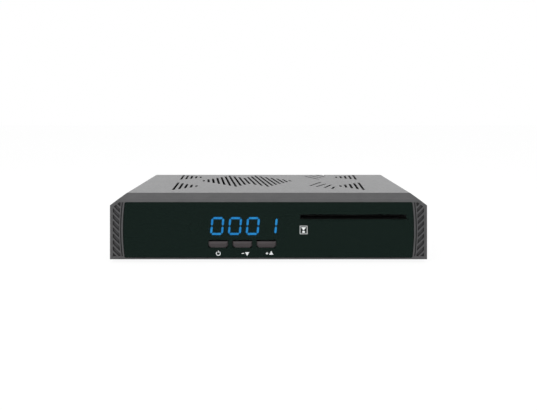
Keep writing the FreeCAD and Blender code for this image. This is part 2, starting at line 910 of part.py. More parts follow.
def standoff_places():
    """Centres of the formed standoffs under the main board, as (x, y)."""
    half = main_board_half - board_hole_inset
    ys = (main_board_y[0] + board_hole_front, main_board_y[1] - board_hole_rear)
    corners = [(side * half, y) for side in (-1, 1) for y in ys]
    return corners + [(middle_hole[0], main_board_y[0] + middle_hole[1])]


def foot_places():
    return [(side * foot_x, y) for side in (-1, 1) for y in (rim_y + foot_setback, rear_y - foot_setback)]


def rear_cutouts():
    """Openings in the rear wall, each the size of its socket with a clearance."""
    reach = (wall_in_y - 1, wall_out_y + 1)
    deep = reach[1] - reach[0]
    cuts = [facet_hole("y", x, reach[0], aerial_mid_z, thread_radius + hole_gap, deep, ring_sides)
            for x in aerial_xs]
    cuts.append(video_outline(video_width / 2 + cutout_gap, reach, cutout_gap))
    data_z = board_top_z + data_lift + data_height / 2
    cuts.append(plate("y", span(data_x, data_width + 2 * cutout_gap),
                      span(data_z, data_height + 2 * cutout_gap), reach))
    cuts.append(facet_hole("y", jack_x, reach[0], board_top_z + jack_z, jack_radius + cutout_gap, deep,
                           ring_sides))
    cuts.append(av_outline(cutout_gap, reach))
    inlet_top = board_top_z + inlet_z + inlet_height / 2
    cuts.append(block(span(inlet_x, inlet_width + 2 * cutout_gap), reach,
                      (board_top_z - cutout_gap, inlet_top + cutout_gap)))
    return cuts


def make_chassis_base():
    """Folded steel tray: floor with formed standoffs and vents, low side flanges and the rear wall."""
    half = width / 2 - inner_inset
    y = (cover_front_y, wall_out_y)
    tray = plate("y", (-half, half), (base_z, base_z + flange_height + bend_radius), y, bend_radius)
    tray = tray.cut(block((-half - 1, half + 1), (y[0] - 1, y[1] + 1),
                          (base_z + flange_height, base_z + flange_height + bend_radius + 1)))
    inside = plate("y", (-half + sheet, half - sheet), (floor_z, base_z + flange_height + 20),
                   (y[0] - 1, wall_in_y), bend_radius - sheet)
    tray = tray.cut(inside)
    tray = tray.cut(block((-half - 1, half + 1), (y[0] - 1, skirt_end_y + cover_gap), (floor_z, top_z)))
    wall = case_prism(inner_inset, (wall_in_y, wall_out_y), base_z)
    roof_flange = block(span(0, 2 * (lip_half - roof_flange_depth)), (wall_in_y - roof_flange_depth, wall_in_y),
                        (top_z - inner_inset - sheet, top_z - inner_inset))
    cones, dimples = [], []
    for x, place_y in standoff_places():
        cones.append(facet_rod([(standoff_base, 0), (standoff_top, standoff_height)],
                               x, place_y, floor_z, (0, 0, 1), head_sides))
        dimples.append(facet_rod([(standoff_base - sheet, 0), (standoff_top - sheet, standoff_height)],
                                 x, place_y, base_z, (0, 0, 1), head_sides))
        dimples.append(facet_hole("z", x, place_y, base_z, screw_radius + thread_gap,
                                  standoff_height + sheet + 1))
    body = tray.fuse([wall, roof_flange] + cones)
    cutters = dimples + rear_cutouts()
    for x in (-tab_x, tab_x):
        cutters.append(facet_hole("z", x, tab_hole_y(), base_z - 1, screw_radius + hole_gap, sheet + 2))
    for x in (-lip_screw_x, lip_screw_x):
        cutters.append(facet_hole("y", x, wall_in_y - 1, top_z - lip_screw_drop,
                                  screw_radius + thread_gap, sheet + 2))
    for side in (-1, 1):
        cutters.append(facet_hole("x", side * half - 2, side_screw_y(), base_z + side_screw_z,
                                  screw_radius + thread_gap, 4))
    cutters += floor_vents()
    return body.cut(cutters).removeSplitter()


def side_screw_y():
    return (rim_y + rear_y) / 2


def floor_vents():
    """Two fields of long slots in the floor."""
    slots = []
    for field_x in (-floor_vent_x, floor_vent_x):
        for i in range(floor_vent_count):
            x = field_x + (i - (floor_vent_count - 1) / 2) * floor_vent_pitch
            y = span(sink_mid_y, floor_vent_length)
            slots.append(vent_slot((x, y[0]), (x, y[1]), floor_vent_width, (base_z - 1, floor_z + 1)))
    return slots


def vent_slot(start, end, wide, z):
    """Upright slot between two points, with ends cut to a blunt tip."""
    along = FreeCAD.Vector(end[0] - start[0], end[1] - start[1], 0)
    length = along.Length
    along.normalize()
    across = FreeCAD.Vector(-along.y, along.x, 0) * (wide / 2)
    tip = along * (wide * vent_tip)
    a = FreeCAD.Vector(start[0], start[1], z[0])
    b = a + along * length
    points = [a + across, b + across, b + tip, b - across, a - across, a - tip]
    return Part.Face(Part.makePolygon(points + points[:1])).extrude(FreeCAD.Vector(0, 0, z[1] - z[0]))


def leaning_vent(x, middle, half, lean, z):
    """Vent of a given half length about a point, leaning to the left towards its back."""
    shift = math.tan(math.radians(lean)) * half
    y = cover_front_y + middle
    return vent_slot((x + shift, y - half), (x - shift, y + half), vent_width, z)


def cover_vents():
    """The cover's pattern: a leaning double diamond, four corner triangles and two slanting groups."""
    z = (top_z - sheet - 1, top_z + 1)
    vents = []
    for i in range(-diamond_columns, diamond_columns + 1):
        step = abs(i)
        if step <= diamond_peak:
            half = diamond_notch_half + (diamond_peak_half - diamond_notch_half) * step / diamond_peak
        else:
            share = (step - diamond_peak) / (diamond_columns - diamond_peak)
            half = diamond_peak_half + (diamond_tip_half - diamond_peak_half) * share
        lean = diamond_lean + diamond_fan * i / diamond_columns
        vents.append(leaning_vent(diamond_x + i * vent_pitch, vent_middle, half, lean, z))
    for side in (-1, 1):
        for i in range(corner_columns):
            x = side * (corner_x - i * vent_pitch)
            lean = -side * corner_lean
            vents.append(leaning_vent(x, corner_front, corner_half - i * corner_step, lean, z))
            rear_half = corner_rear_half - i * corner_rear_step
            vents.append(leaning_vent(x + side * corner_lean, corner_rear, rear_half, lean, z))
    for front, back in slant_vents:
        for mirror in (1, -1):
            start = cover_front_y + vent_middle + mirror * (front[1] - vent_middle)
            end = cover_front_y + vent_middle + mirror * (back[1] - vent_middle)
            vents.append(vent_slot((front[0], start), (back[0], end), vent_width, z))
    return vents


def side_vent(side, y):
    """Upright slot through one side of the cover, with ends cut to a blunt tip."""
    half = side_vent_width / 2
    low, high = span(base_z + side_vent_z, side_vent_length)
    tip = side_vent_width * vent_tip
    corners = [(y - half, low + tip), (y, low), (y + half, low + tip), (y + half, high - tip), (y, high),
               (y - half, high - tip)]
    return prism("x", corners, span(side * width / 2, 4 * sheet))


def make_top_cover():
    """Folded steel cover: roof with vents, chamfers, sides and the lip over the rear wall."""
    y = (cover_front_y, rear_y)
    shell = case_prism(0.0, y, base_z)
    shell = shell.cut(case_prism(sheet, (y[0] - 1, y[1] + 1), base_z - 1))
    lip = case_prism(sheet / 2, (rear_y - sheet, rear_y))
    lip = lip.common(block((-lip_half, lip_half), (rear_y - sheet, rear_y), (top_z - lip_height, top_z)))
    cutters = cover_vents()
    middle = side_screw_y()
    length = (side_vent_count - 1) * side_vent_pitch
    for side in (-1, 1):
        for i in range(side_vent_count):
            cutters.append(side_vent(side, middle - length / 2 + i * side_vent_pitch))
        cutters.append(facet_hole("x", side * width / 2 - 2, middle, base_z + side_screw_z,
                                  screw_radius + hole_gap, 4))
        cutters.append(facet_hole("y", side * lip_screw_x, rear_y - 2, top_z - lip_screw_drop,
                                  screw_radius + hole_gap, 4))
    return shell.fuse(lip).cut(cutters).removeSplitter()


def make_cover_screws():
    screws = []
    for side in (-1, 1):
        screws.append(pan_screw(side * width / 2, side_screw_y(), base_z + side_screw_z, (-side, 0, 0), 5.0))
        screws.append(pan_screw(side * lip_screw_x, rear_y, top_z - lip_screw_drop, (0, -1, 0), 5.0))
    return screws


def make_bezel_screws():
    return [pan_screw(x, tab_hole_y(), base_z, (0, 0, 1), sheet + tab_thickness) for x in (-tab_x, tab_x)]


def make_main_board():
    board = block((-main_board_half, main_board_half), main_board_y, (board_low_z, board_top_z))
    holes = [facet_hole("z", x, y, board_low_z - 1, screw_radius + hole_gap, board_thickness + 2)
             for x, y in standoff_places()]
    holes += [facet_hole("z", x, y, board_low_z - 1, pin_radius + hole_gap, board_thickness + 2)
              for x, y in pin_places()]
    return board.cut(holes)


def make_main_board_screws():
    return [pan_screw(x, y, board_top_z, (0, 0, -1), board_thickness + 3.0) for x, y in standoff_places()]


def make_feet():
    """Rubber feet with a slight taper."""
    profile = [(foot_radius - foot_taper, 0), (foot_radius, foot_height)]
    return [facet_rod(profile, x, y, 0, (0, 0, 1), foot_sides) for x, y in foot_places()]


def make_tuner_can():
    """Tinplate can of the tuner, open below, with two trimming holes in its lid."""
    x = span(tuner_x, tuner_width)
    y = (tuner_back_y - tuner_length, tuner_back_y)
    can = block(x, y, (board_top_z, board_top_z + tuner_height))
    inner = block((x[0] + tuner_wall, x[1] - tuner_wall), (y[0] + tuner_wall, y[1] - tuner_wall),
                  (board_top_z - 1, board_top_z + tuner_height - tuner_wall))
    holes = [facet_hole("z", tuner_x + shift, y[0] + tuner_length * 0.3, board_top_z, trim_hole, tuner_height + 1)
             for shift in (-tuner_width / 4, tuner_width / 4)]
    return can.cut([inner] + holes)


def nut_back_y():
    return wall_out_y + washer_thickness + nut_thickness


def relieved_barrel(x, z, radius, start, step, end):
    """Round barrel towards the rear whose full radius begins at step, clear of the wall or nut round it."""
    shank = rod("y", x, start, z, radius - shank_relief, step - start)
    return shank.fuse(rod("y", x, step, z, radius, end - step))


def make_aerial_connector(x):
    """Barrel from the tuner through the rear wall, with a cup for its insulator."""
    end = rear_y + thread_reach
    barrel = relieved_barrel(x, aerial_mid_z, thread_radius, tuner_back_y, nut_back_y() + shank_clear, end)
    cup = facet_hole("y", x, end - thread_cup, aerial_mid_z, thread_bore, thread_cup + 1, ring_sides)
    return barrel.cut(cup)


def make_connector_insulator(x):
    """White plug at the bottom of a connector's cup, with the hole for the cable's core."""
    start = rear_y + thread_reach - thread_cup
    plug = facet_pin(x, start, aerial_mid_z, thread_bore, thread_cup - insulator_drop)
    return plug.cut(facet_hole("y", x, start + 1, aerial_mid_z, contact_hole, thread_cup))


def make_connector_washer(x):
    disc = facet_pin(x, wall_out_y, aerial_mid_z, washer_radius, washer_thickness)
    return disc.cut(facet_hole("y", x, wall_out_y - 1, aerial_mid_z, thread_radius + thread_gap,
                               washer_thickness + 2, ring_sides))


def make_connector_nut(x):
    start = wall_out_y + washer_thickness
    corner = nut_flats / math.sqrt(3)
    corners = []
    for i in range(6):
        angle = math.radians(60 * i)
        corners.append((x + corner * math.cos(angle), aerial_mid_z + corner * math.sin(angle)))
    nut = prism("y", corners, (start, start + nut_thickness))
    return nut.cut(facet_hole("y", x, start - 1, aerial_mid_z, thread_radius + thread_gap, nut_thickness + 2,
                              ring_sides))


def make_processor():
    return block(span(sink_x, processor_size), span(sink_mid_y, processor_size), (board_top_z, processor_top_z))


def make_thermal_pad():
    return block(span(sink_x, processor_size), span(sink_mid_y, processor_size), (processor_top_z, sink_low_z))


def make_heat_sink():
    """Extruded comb of fins on a base with two clearance holes for its pins."""
    x = span(sink_x, sink_size)
    y = span(sink_mid_y, sink_size)
    base_top = sink_low_z + sink_base
    pieces = [block(x, y, (sink_low_z, base_top))]
    pitch = (sink_size - sink_fin) / (sink_fins - 1)
    for i in range(sink_fins):
        low = x[0] + i * pitch
        pieces.append(block((low, low + sink_fin), y, (base_top, base_top + sink_fin_height)))
    comb = joined(pieces)
    cutters = []
    for px, py in pin_places():
        cutters.append(facet_hole("z", px, py, sink_low_z - 1, pin_radius + hole_gap, sink_base + 2))
        cutters.append(facet_hole("z", px, py, base_top, sink_pin_room, sink_fin_height + 1))
    return comb.cut(cutters)


def pin_places():
    """Centres of the heat sink's two push pins, at opposite corners."""
    inset = sink_size / 2 - sink_pin_inset
    return [(sink_x - inset, sink_mid_y - inset), (sink_x + inset, sink_mid_y + inset)]


def make_sink_pins():
    """Push pins with a round head on the sink's base and a barb under the board."""
    seat = sink_low_z + sink_base
    shank = seat - board_low_z
    pins = []
    for x, y in pin_places():
        head = facet_rod([(sink_pin_head, 0), (sink_pin_head, -1.0)], x, y, seat, (0, 0, -1), head_sides)
        barb = [(pin_radius, -0.5), (pin_radius, shank), (pin_radius + 0.4, shank + 0.5),
                (pin_radius / 2, shank + 2.4)]
        pins.append(joined([head, facet_rod(barb, x, y, seat, (0, 0, -1), shank_sides)]))
    return pins


def make_memory_chips():
    """Two memory chips and one flash chip beside the processor."""
    wide, long, high = memory_size
    right = sink_x + sink_size / 2 + wide / 2 + memory_gap
    left = sink_x - sink_size / 2 - wide / 2 - memory_gap
    first = sink_mid_y - memory_shift
    places = [(right, first), (right, first + long + memory_gap), (left, sink_mid_y - long / 2)]
    return [block(span(x, wide), span(y, long), (board_top_z, board_top_z + high)) for x, y in places]


def make_capacitors():
    """Round capacitors of the power supply, near its inlet."""
    cans = []
    for x, y, radius, tall in capacitor_places:
        profile = [(radius, 0), (radius, tall - capacitor_edge), (radius - capacitor_edge, tall)]
        cans.append(facet_rod(profile, x, rim_y + y, board_top_z, (0, 0, 1), ring_sides))
    return cans


def make_power_inductors():
    """Two flat wound inductors with round cores and square bases."""
    coils = []
    base_top = board_top_z + inductor_base
    for x, y in inductor_places:
        base = block(span(x, inductor_size), span(rim_y + y, inductor_size), (board_top_z, base_top))
        core = facet_rod([(inductor_core, 0), (inductor_core, inductor_height)], x, rim_y + y, base_top,
                         (0, 0, 1), ring_sides)
        coils.append(joined([base, core]))
    return coils


def video_outline(half, y, grow=0.0):
    """Outline of the digital video socket: flat above, with slanted lower corners."""
    low = board_top_z - grow
    high = board_top_z + video_height + grow
    corners = [
        (video_x - half * 0.8, low),
        (video_x + half * 0.8, low),
        (video_x + half, low + video_height * 0.38),
        (video_x + half, high),
        (video_x - half, high),
        (video_x - half, low + video_height * 0.38),
    ]
    return prism("y", corners, y)


def make_video_socket():
    """Metal shell of the digital video socket."""
    front = wall_out_y + socket_proud
    shell = video_outline(video_width / 2, (front - video_length, front))
    inner = video_outline(video_width / 2 - video_wall, (front - video_length + 1, front + 1), -video_wall)
    return shell.cut(inner)


def make_video_tongue():
    back = wall_out_y + socket_proud - video_length + 1
    middle = board_top_z + video_height * 0.56
    return block(span(video_x, video_width * 0.72), (back, wall_out_y + socket_proud - 1.5), span(middle, 1.2))


def data_low_z():
    return board_top_z + data_lift


def make_data_socket():
    """Metal shell of the flat data socket, on short legs."""
    front = wall_out_y + socket_proud
    z = (data_low_z(), data_low_z() + data_height)
    shell = block(span(data_x, data_width), (front - data_length, front), z)
    inner = block(span(data_x, data_width - 2 * data_wall), (front - data_length + 1, front + 1),
                  (z[0] + data_wall, z[1] - data_wall))
    back = front - data_length
    legs = [block(span(data_x + side * (data_width - data_leg) / 2, data_leg), (back + 2, back + 8),
                  (board_top_z, z[0])) for side in (-1, 1)]
    return joined([shell.cut(inner)] + legs)


def make_data_tongue():
    back = wall_out_y + socket_proud - data_length + 1
    middle = data_low_z() + data_height * 0.66
    return block(span(data_x, data_width * 0.8), (back, wall_out_y + socket_proud - 2.0), span(middle, 1.8))


def make_audio_jack():
    """Phono jack's housing behind the wall and its insulating core inside the metal sleeve."""
    middle = board_top_z + jack_z
    housing = block(span(jack_x, jack_block), (wall_in_y - jack_depth, wall_in_y),
                    (board_top_z, board_top_z + jack_height))
    core = facet_pin(jack_x, wall_in_y - 1, middle, jack_radius - jack_wall, rear_y + jack_reach - wall_in_y)
    hole = facet_hole("y", jack_x, wall_in_y, middle, jack_hole, rear_y + jack_reach - wall_in_y)
    return joined([housing, core]).cut(hole)


def make_audio_sleeve():
    middle = board_top_z + jack_z
    end = rear_y + jack_reach
    tube = relieved_barrel(jack_x, middle, jack_radius, wall_in_y, wall_out_y + shank_clear, end)
    return tube.cut(facet_hole("y", jack_x, wall_in_y - 1, middle, jack_radius - jack_wall, end - wall_in_y + 2,
                               ring_sides))


def av_outline(grow, y):
    """Outline of the wide audio and video socket, with one slanted end."""
    x = span(av_x, av_shroud_width + 2 * grow)
    z = span(board_top_z + av_z, av_shroud_height + 2 * grow)
    corners = [(x[0], z[0]), (x[1], z[0]), (x[1], z[1]), (x[0] + av_shroud_slope, z[1]),
               (x[0], z[1] - av_shroud_slope)]
    return prism("y", corners, y)


def av_contact_places():
    """Centres of the contact slots of the wide socket, as (x, z)."""
    middle = board_top_z + av_z
    places = []
    for i in range(av_columns):
        x = av_x + 1.2 + (i - (av_columns - 1) / 2) * av_pitch
        places.append((x, middle - av_row / 2))
        if i:
            places.append((x + av_pitch / 4, middle + av_row / 2))
    return places


def make_av_socket():
    """Wide socket: a housing behind the wall and a shroud round its recessed face of slots."""
    front = wall_out_y + av_reach
    housing = block(span(av_x, av_width), (wall_in_y - av_depth, wall_in_y),
                    (board_top_z, board_top_z + av_height))
    shroud = av_outline(0.0, (wall_in_y - 1, front))
    face_y = front - av_recess
    recess = av_outline(-av_shroud_wall, (face_y, front + 1))
    cutters = [recess]
    for x, z in av_contact_places():
        cutters.append(block(span(x, 1.2), (face_y - 7, face_y + 1), span(z, 3.2)))
    return joined([housing, shroud]).cut(cutters)


def make_av_contacts():
    """Metal leaves at the bottom of the wide socket's slots."""
    face_y = wall_out_y + av_reach - av_recess
    return [block(span(x, 0.5), (face_y - 7, face_y - 1.5), span(z, 2.6)) for x, z in av_contact_places()]


def make_power_inlet():
    """Housing of the low voltage inlet with its round bore."""
    front = wall_out_y + socket_proud
    middle = board_top_z + inlet_z
    housing = block(span(inlet_x, inlet_width), (front - inlet_depth, front),
                    (board_top_z, middle + inlet_height / 2))
    return housing.cut(rod("y", inlet_x, front - inlet_bore_depth, middle, inlet_bore, inlet_bore_depth + 1))


def make_power_pin():
    front = wall_out_y + socket_proud
    return facet_pin(inlet_x, front - inlet_bore_depth, board_top_z + inlet_z, inlet_pin,
                     inlet_bore_depth - pin_recess, head_sides)


def main():
    os.makedirs("parts", exist_ok=True)
    save("front_bezel", make_front_bezel())
    save("front_window", make_front_window())
    for name, x in zip(("power", "channel_down", "channel_up"), button_xs):
        save(name + "_button", make_button(x))
        save(name + "_plunger", make_plunger(x))
    save("switch_housings", [make_switch_housing(x) for x in button_xs])
    save("front_board", make_front_board())
    save("front_board_screws", make_front_board_screws())
    save("display_module", make_display())
    lit, unlit = make_segments()
    save("lit_segments", lit)
    save("unlit_segments", unlit)
    save("infrared_receiver", make_sensor())
    save("front_header", make_front_header())
    save("ribbon_cable", make_ribbon())
    save("main_header", make_main_header())
    save("card_reader", make_card_reader())
    save("card_contacts", make_card_contacts())
    save("card_board", make_card_board())
    save("card_board_spacers", make_card_spacers())
    save("card_board_screws", make_card_screws())
    save("main_board", make_main_board())
    save("main_board_screws", make_main_board_screws())
    save("main_processor", make_processor())
    save("thermal_pad", make_thermal_pad())
    save("heat_sink", make_heat_sink())
    save("heat_sink_pins", make_sink_pins())
    save("memory_chips", make_memory_chips())
    save("capacitors", make_capacitors())
    save("power_inductors", make_power_inductors())
    save("tuner_can", make_tuner_can())
    save("lnb_in_connector", make_aerial_connector(aerial_xs[0]))
    save("lnb_loop_connector", make_aerial_connector(aerial_xs[1]))
    save("connector_insulators", [make_connector_insulator(x) for x in aerial_xs])
    save("connector_washers", [make_connector_washer(x) for x in aerial_xs])
    save("connector_nuts", [make_connector_nut(x) for x in aerial_xs])
    save("video_socket", make_video_socket())
    save("video_tongue", make_video_tongue())
    save("data_socket", make_data_socket())
    save("data_tongue", make_data_tongue())
    save("audio_jack", make_audio_jack())
    save("audio_jack_sleeve", make_audio_sleeve())
    save("av_socket", make_av_socket())
    save("av_contacts", make_av_contacts())
    save("power_inlet", make_power_inlet())
    save("power_inlet_pin", make_power_pin())
    save("chassis_base", make_chassis_base())
    save("bezel_screws", make_bezel_screws())
    save("top_cover", make_top_cover())
    save("cover_screws", make_cover_screws())
    save("feet", make_feet())


main()
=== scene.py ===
import math
import bpy
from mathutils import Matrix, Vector


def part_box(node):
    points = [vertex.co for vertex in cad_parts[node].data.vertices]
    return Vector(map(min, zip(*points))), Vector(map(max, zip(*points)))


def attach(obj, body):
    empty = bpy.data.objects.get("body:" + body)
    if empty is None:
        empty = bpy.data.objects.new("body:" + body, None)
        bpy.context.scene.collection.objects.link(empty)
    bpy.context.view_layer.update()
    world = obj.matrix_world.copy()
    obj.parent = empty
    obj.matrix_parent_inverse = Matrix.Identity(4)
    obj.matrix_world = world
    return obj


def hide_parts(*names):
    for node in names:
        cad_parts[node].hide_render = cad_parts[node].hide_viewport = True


bl_info = {
    "name": "Satellite Receiver",
    "version": (1, 0, 0),
    "blender": (4, 5, 0),
    "location": "3D View > Sidebar > Receiver",
    "description": "Finishes, printed marks, screws, threads and stage for a satellite television receiver",
    "category": "Object",
}

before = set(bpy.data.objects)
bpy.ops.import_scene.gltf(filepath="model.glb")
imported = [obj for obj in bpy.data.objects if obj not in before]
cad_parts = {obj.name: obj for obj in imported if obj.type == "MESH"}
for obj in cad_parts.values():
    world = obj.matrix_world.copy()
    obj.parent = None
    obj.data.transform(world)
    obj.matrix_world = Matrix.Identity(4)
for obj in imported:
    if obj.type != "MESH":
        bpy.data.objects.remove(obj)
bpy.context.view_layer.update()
MM = 0.001

# The picture's camera looks level, so its lens is shifted to where the eye's height falls in the picture
PICTURE_WIDTH = 537
PICTURE_HEIGHT = 410
EYE_PX_Y = 106.3
LENS_PX = 747.0
SENSOR_MM = 36.0
CAMERA_AWAY = 423.0 * MM
CAMERA_HIGH = 88.8 * MM

ROUND_SIDES = 48
SMOOTH_ANGLE = math.radians(30)
ALONG = 0.99  # a normal's least share along an axis to count as pointing that way
NEAR = 0.1 * MM  # how far off a place may be when it is looked for
OVERPRINT = 1.01  # thicker ink where two prints cross, so that their faces don't coincide
SHANK_RELIEF = 0.2 * MM  # how much thinner a connector is inside the wall, as in the solid

# Turns from Z along another direction
TURNS = {
    "+x": (0, math.pi / 2, 0),
    "-x": (0, -math.pi / 2, 0),
    "+y": (-math.pi / 2, 0, 0),
    "-z": (math.pi, 0, 0),
}


# Nodes and colours

def linear(code):
    """An sRGB hex colour such as 5E5E60 as linear numbers."""
    values = [int(code[i:i + 2], 16) / 255 for i in (0, 2, 4)]
    return [v / 12.92 if v <= 0.04045 else ((v + 0.055) / 1.055) ** 2.4 for v in values] + [1.0]


def node(tree, kind, links=None, **settings):
    """Adds a node with its settings, and a value or another node's socket for each named input."""
    made = tree.nodes.new(kind)
    for name, value in settings.items():
        setattr(made, name, value)
    for name, value in (links or {}).items():
        if isinstance(value, bpy.types.NodeSocket):
            tree.links.new(value, made.inputs[name])
        else:
            made.inputs[name].default_value = value
    return made


def start(name):
    """A new material, its tree, its shader and its Object coordinates."""
    material = bpy.data.materials.new(name)
    material.use_nodes = True
    tree = material.node_tree
    place = node(tree, "ShaderNodeTexCoord").outputs["Object"]
    return material, tree, tree.nodes["Principled BSDF"], place


def mottle(tree, place, grain_mm, low, high, detail=3.0):
    """A noise whose spots have a real size, spread from the 0.3 to 0.7 it mostly keeps to two values."""
    noise = node(tree, "ShaderNodeTexNoise", {"Vector": place, "Scale": 1 / (grain_mm * MM), "Detail": detail})
    spread = node(tree, "ShaderNodeMapRange", {"Value": noise.outputs["Fac"], "From Min": 0.3, "From Max": 0.7,
                                               "To Min": low, "To Max": high})
    return spread.outputs["Result"]


def tint(tree, amount, dark, pale):
    """A colour between two hex colours."""
    mixed = node(tree, "ShaderNodeMix", {"Factor": amount, "A": linear(dark), "B": linear(pale)},
                 data_type="RGBA")
    return mixed.outputs["Result"]


def relief(tree, shader, height, depth_mm, edge_mm=0.0, strength=0.5):
    """A fine relief over softened edges, as the shader's normal."""
    links = {"Height": height, "Distance": depth_mm * MM, "Strength": strength}
    if edge_mm:
        links["Normal"] = node(tree, "ShaderNodeBevel", {"Radius": edge_mm * MM}, samples=6).outputs["Normal"]
    tree.links.new(node(tree, "ShaderNodeBump", links).outputs["Normal"], shader.inputs["Normal"])


def finish(name, dark, pale, rough, grain_mm, metallic=0.0, depth_mm=0.01, edge_mm=0.0, ior=1.5):
    """A material whose colour and roughness wander a little over its grain."""
    material, tree, shader, place = start(name)
    cloud = mottle(tree, place, grain_mm, 0.0, 1.0)
    tree.links.new(tint(tree, cloud, dark, pale), shader.inputs["Base Color"])
    tree.links.new(mottle(tree, place, grain_mm * 0.3, rough - 0.05, rough + 0.05), shader.inputs["Roughness"])
    shader.inputs["Metallic"].default_value = metallic
    if not metallic:
        shader.inputs["IOR"].default_value = ior
    relief(tree, shader, cloud, depth_mm, edge_mm)
    return material


# Plastics

def textured_abs(name, dark, pale, rough):
    """ABS from a spark-eroded mould: an even grain of a third of a millimetre that kills the shine.
    Grooves of a millimetre or two, which get little light, are painted darker than the open faces from ambient
    occlusion: painted shade in the base colour."""
    material, tree, shader, place = start(name)
    grain = mottle(tree, place, 0.35, 0.0, 1.0, 2.0)
    plain = tint(tree, mottle(tree, place, 9.0, 0.0, 1.0), dark, pale)
    # painted shade: the base colour darkens towards 1E1E20 where ambient occlusion finds a groove
    open_sky = node(tree, "ShaderNodeAmbientOcclusion", {"Distance": 2.5 * MM}, samples=8).outputs["AO"]
    painted_shade_openness = node(tree, "ShaderNodeMapRange", {"Value": open_sky, "From Min": 0.45, "From Max": 0.9})
    deep = node(tree, "ShaderNodeMix", {"Factor": painted_shade_openness.outputs["Result"], "A": linear("1E1E20"),
                                        "B": plain}, data_type="RGBA")
    tree.links.new(deep.outputs["Result"], shader.inputs["Base Color"])
    tree.links.new(mottle(tree, place, 2.5, rough - 0.04, rough + 0.06), shader.inputs["Roughness"])
    shader.inputs["IOR"].default_value = 1.53
    shader.inputs["Specular IOR Level"].default_value = 0.3
    relief(tree, shader, grain, 0.02, 0.18, 0.35)
    return material


def front_abs():
    """Dark grey moulded front."""
    return textured_abs("textured_abs_front", "4D4D4E", "545455", 0.48)


def key_abs():
    """Keys of a smoother, browner grey ABS."""
    return textured_abs("textured_abs_keys", "3C3638", "423B3D", 0.36)


def smoked_acrylic():
    """Cast acrylic dyed dark, whose anti-glare coat leaves only a faint green reflection."""
    material, tree, shader, place = start("smoked_acrylic")
    dye = tint(tree, mottle(tree, place, 30.0, 0.0, 1.0), "1E2A26", "212E2A")
    tree.links.new(dye, shader.inputs["Base Color"])
    tree.links.new(mottle(tree, place, 6.0, 0.05, 0.08), shader.inputs["Roughness"])
    shader.inputs["Transmission Weight"].default_value = 1.0
    shader.inputs["IOR"].default_value = 1.49
    shader.inputs["Specular Tint"].default_value = linear("84AB9E")
    return material


def black_nylon():
    """Glass-filled black nylon of the sockets, with a faint cloud of fibres."""
    return finish("black_nylon", "141415", "1B1B1C", 0.45, 1.5, edge_mm=0.12, ior=1.53)


def natural_nylon():
    """Undyed nylon of the plugs and push pins, slightly yellow."""
    return finish("natural_nylon", "D6D3C6", "E0DDD2", 0.42, 2.5, ior=1.53)


def orange_nylon():
    """Orange nylon of the digital audio socket."""
    return finish("orange_nylon", "D9621A", "E4702A", 0.4, 2.0, edge_mm=0.15, ior=1.53)


def white_ptfe():
    """Waxy white insulator inside the aerial connectors."""
    return finish("white_ptfe", "E8E8E2", "F0F0EB", 0.4, 1.5, ior=1.35)


def polyester_film():
    """Laminated film of the flat cable, smooth and a little glossy."""
    return finish("polyester_film", "C9C9C4", "D8D8D4", 0.3, 4.0, ior=1.57)


def foot_rubber():
    """Moulded black rubber, matt with a fine grain."""
    return finish("moulded_rubber", "131313", "1C1C1C", 0.75, 0.5, depth_mm=0.03, edge_mm=0.2, ior=1.52)


def silicone_pad():
    """Soft blue grey silicone gap pad."""
    return finish("silicone_pad", "7C8EA0", "8898A8", 0.7, 1.5, ior=1.41)


def white_ink():
    """Screen-printed white ink, flat and slightly porous."""
    return finish("screen_ink", "F2F6F6", "FAFCFC", 0.5, 0.6)


def painted_shade_ink():
    """Velvet black beside the card slot, which hardly reflects: painted shade that stands in for the slot's
    shadow.
    """
    material = finish("painted_shade_ink", "030303", "060606", 0.8, 0.6)
    material.node_tree.nodes["Principled BSDF"].inputs["Specular IOR Level"].default_value = 0.05
    return material


# Display

def lit_resin():
    """Blue light through diffusing resin, a little paler in spots of a millimetre and a half."""
    material, tree, shader, place = start("lit_resin")
    glow = tint(tree, mottle(tree, place, 1.5, 0.0, 1.0), "2080DC", "3D9AF0")
    tree.links.new(glow, shader.inputs["Emission Color"])
    shader.inputs["Emission Strength"].default_value = bpy.context.scene.receiver.glow
    shader.inputs["Base Color"].default_value = linear("17426E")
    shader.inputs["Roughness"].default_value = 0.4
    return material


def dark_resin():
    """Unlit segments: grey resin that hardly shows behind the window."""
    return finish("dark_resin", "101214", "14171A", 0.45, 2.0)


def display_epoxy():
    """Black potting epoxy of the display's face."""
    return finish("display_epoxy", "0A0A0C", "0E0E10", 0.35, 3.0)


def infrared_epoxy():
    """Epoxy that lets only infrared through: nearly black violet, polished."""
    return finish("infrared_epoxy", "140A16", "1B0F1E", 0.12, 3.0, ior=1.55)


# Coatings and metals

def powder_coat():
    """Polyester powder coat on folded steel: a fine orange peel of half a millimetre, satin grey."""
    material, tree, shader, place = start("powder_coat")
    peel = mottle(tree, place, 0.55, 0.0, 1.0, 2.0)
    grey = tint(tree, mottle(tree, place, 18.0, 0.0, 1.0), "5C5C5E", "636365")
    tree.links.new(grey, shader.inputs["Base Color"])
    tree.links.new(mottle(tree, place, 1.2, 0.31, 0.39), shader.inputs["Roughness"])
    shader.inputs["IOR"].default_value = 1.5
    relief(tree, shader, peel, 0.02, 0.25, 0.25)
    return material


def zinc_plate():
    """Bright zinc with a clear passivate, on the inner screws."""
    return finish("zinc_plate", "A8A69E", "BDBBB2", 0.32, 1.2, 1.0, edge_mm=0.1)


def black_oxide():
    """Blackened steel of the case screws, oiled and dark."""
    return finish("black_oxide", "1F1F21", "2B2B2D", 0.34, 1.0, 1.0, edge_mm=0.12)


def nickel_plate():
    """Nickel on turned brass: warm and bright, a little clouded from handling."""
    return finish("nickel_plate", "C4BFB3", "D3CEC2", 0.18, 1.5, 1.0, edge_mm=0.1)


def tinplate():
    """Tinned steel sheet of the shields, with soft spangles of two millimetres."""
    return finish("tinplate", "B4B4B4", "C9C9C9", 0.27, 2.2, 1.0, edge_mm=0.12)


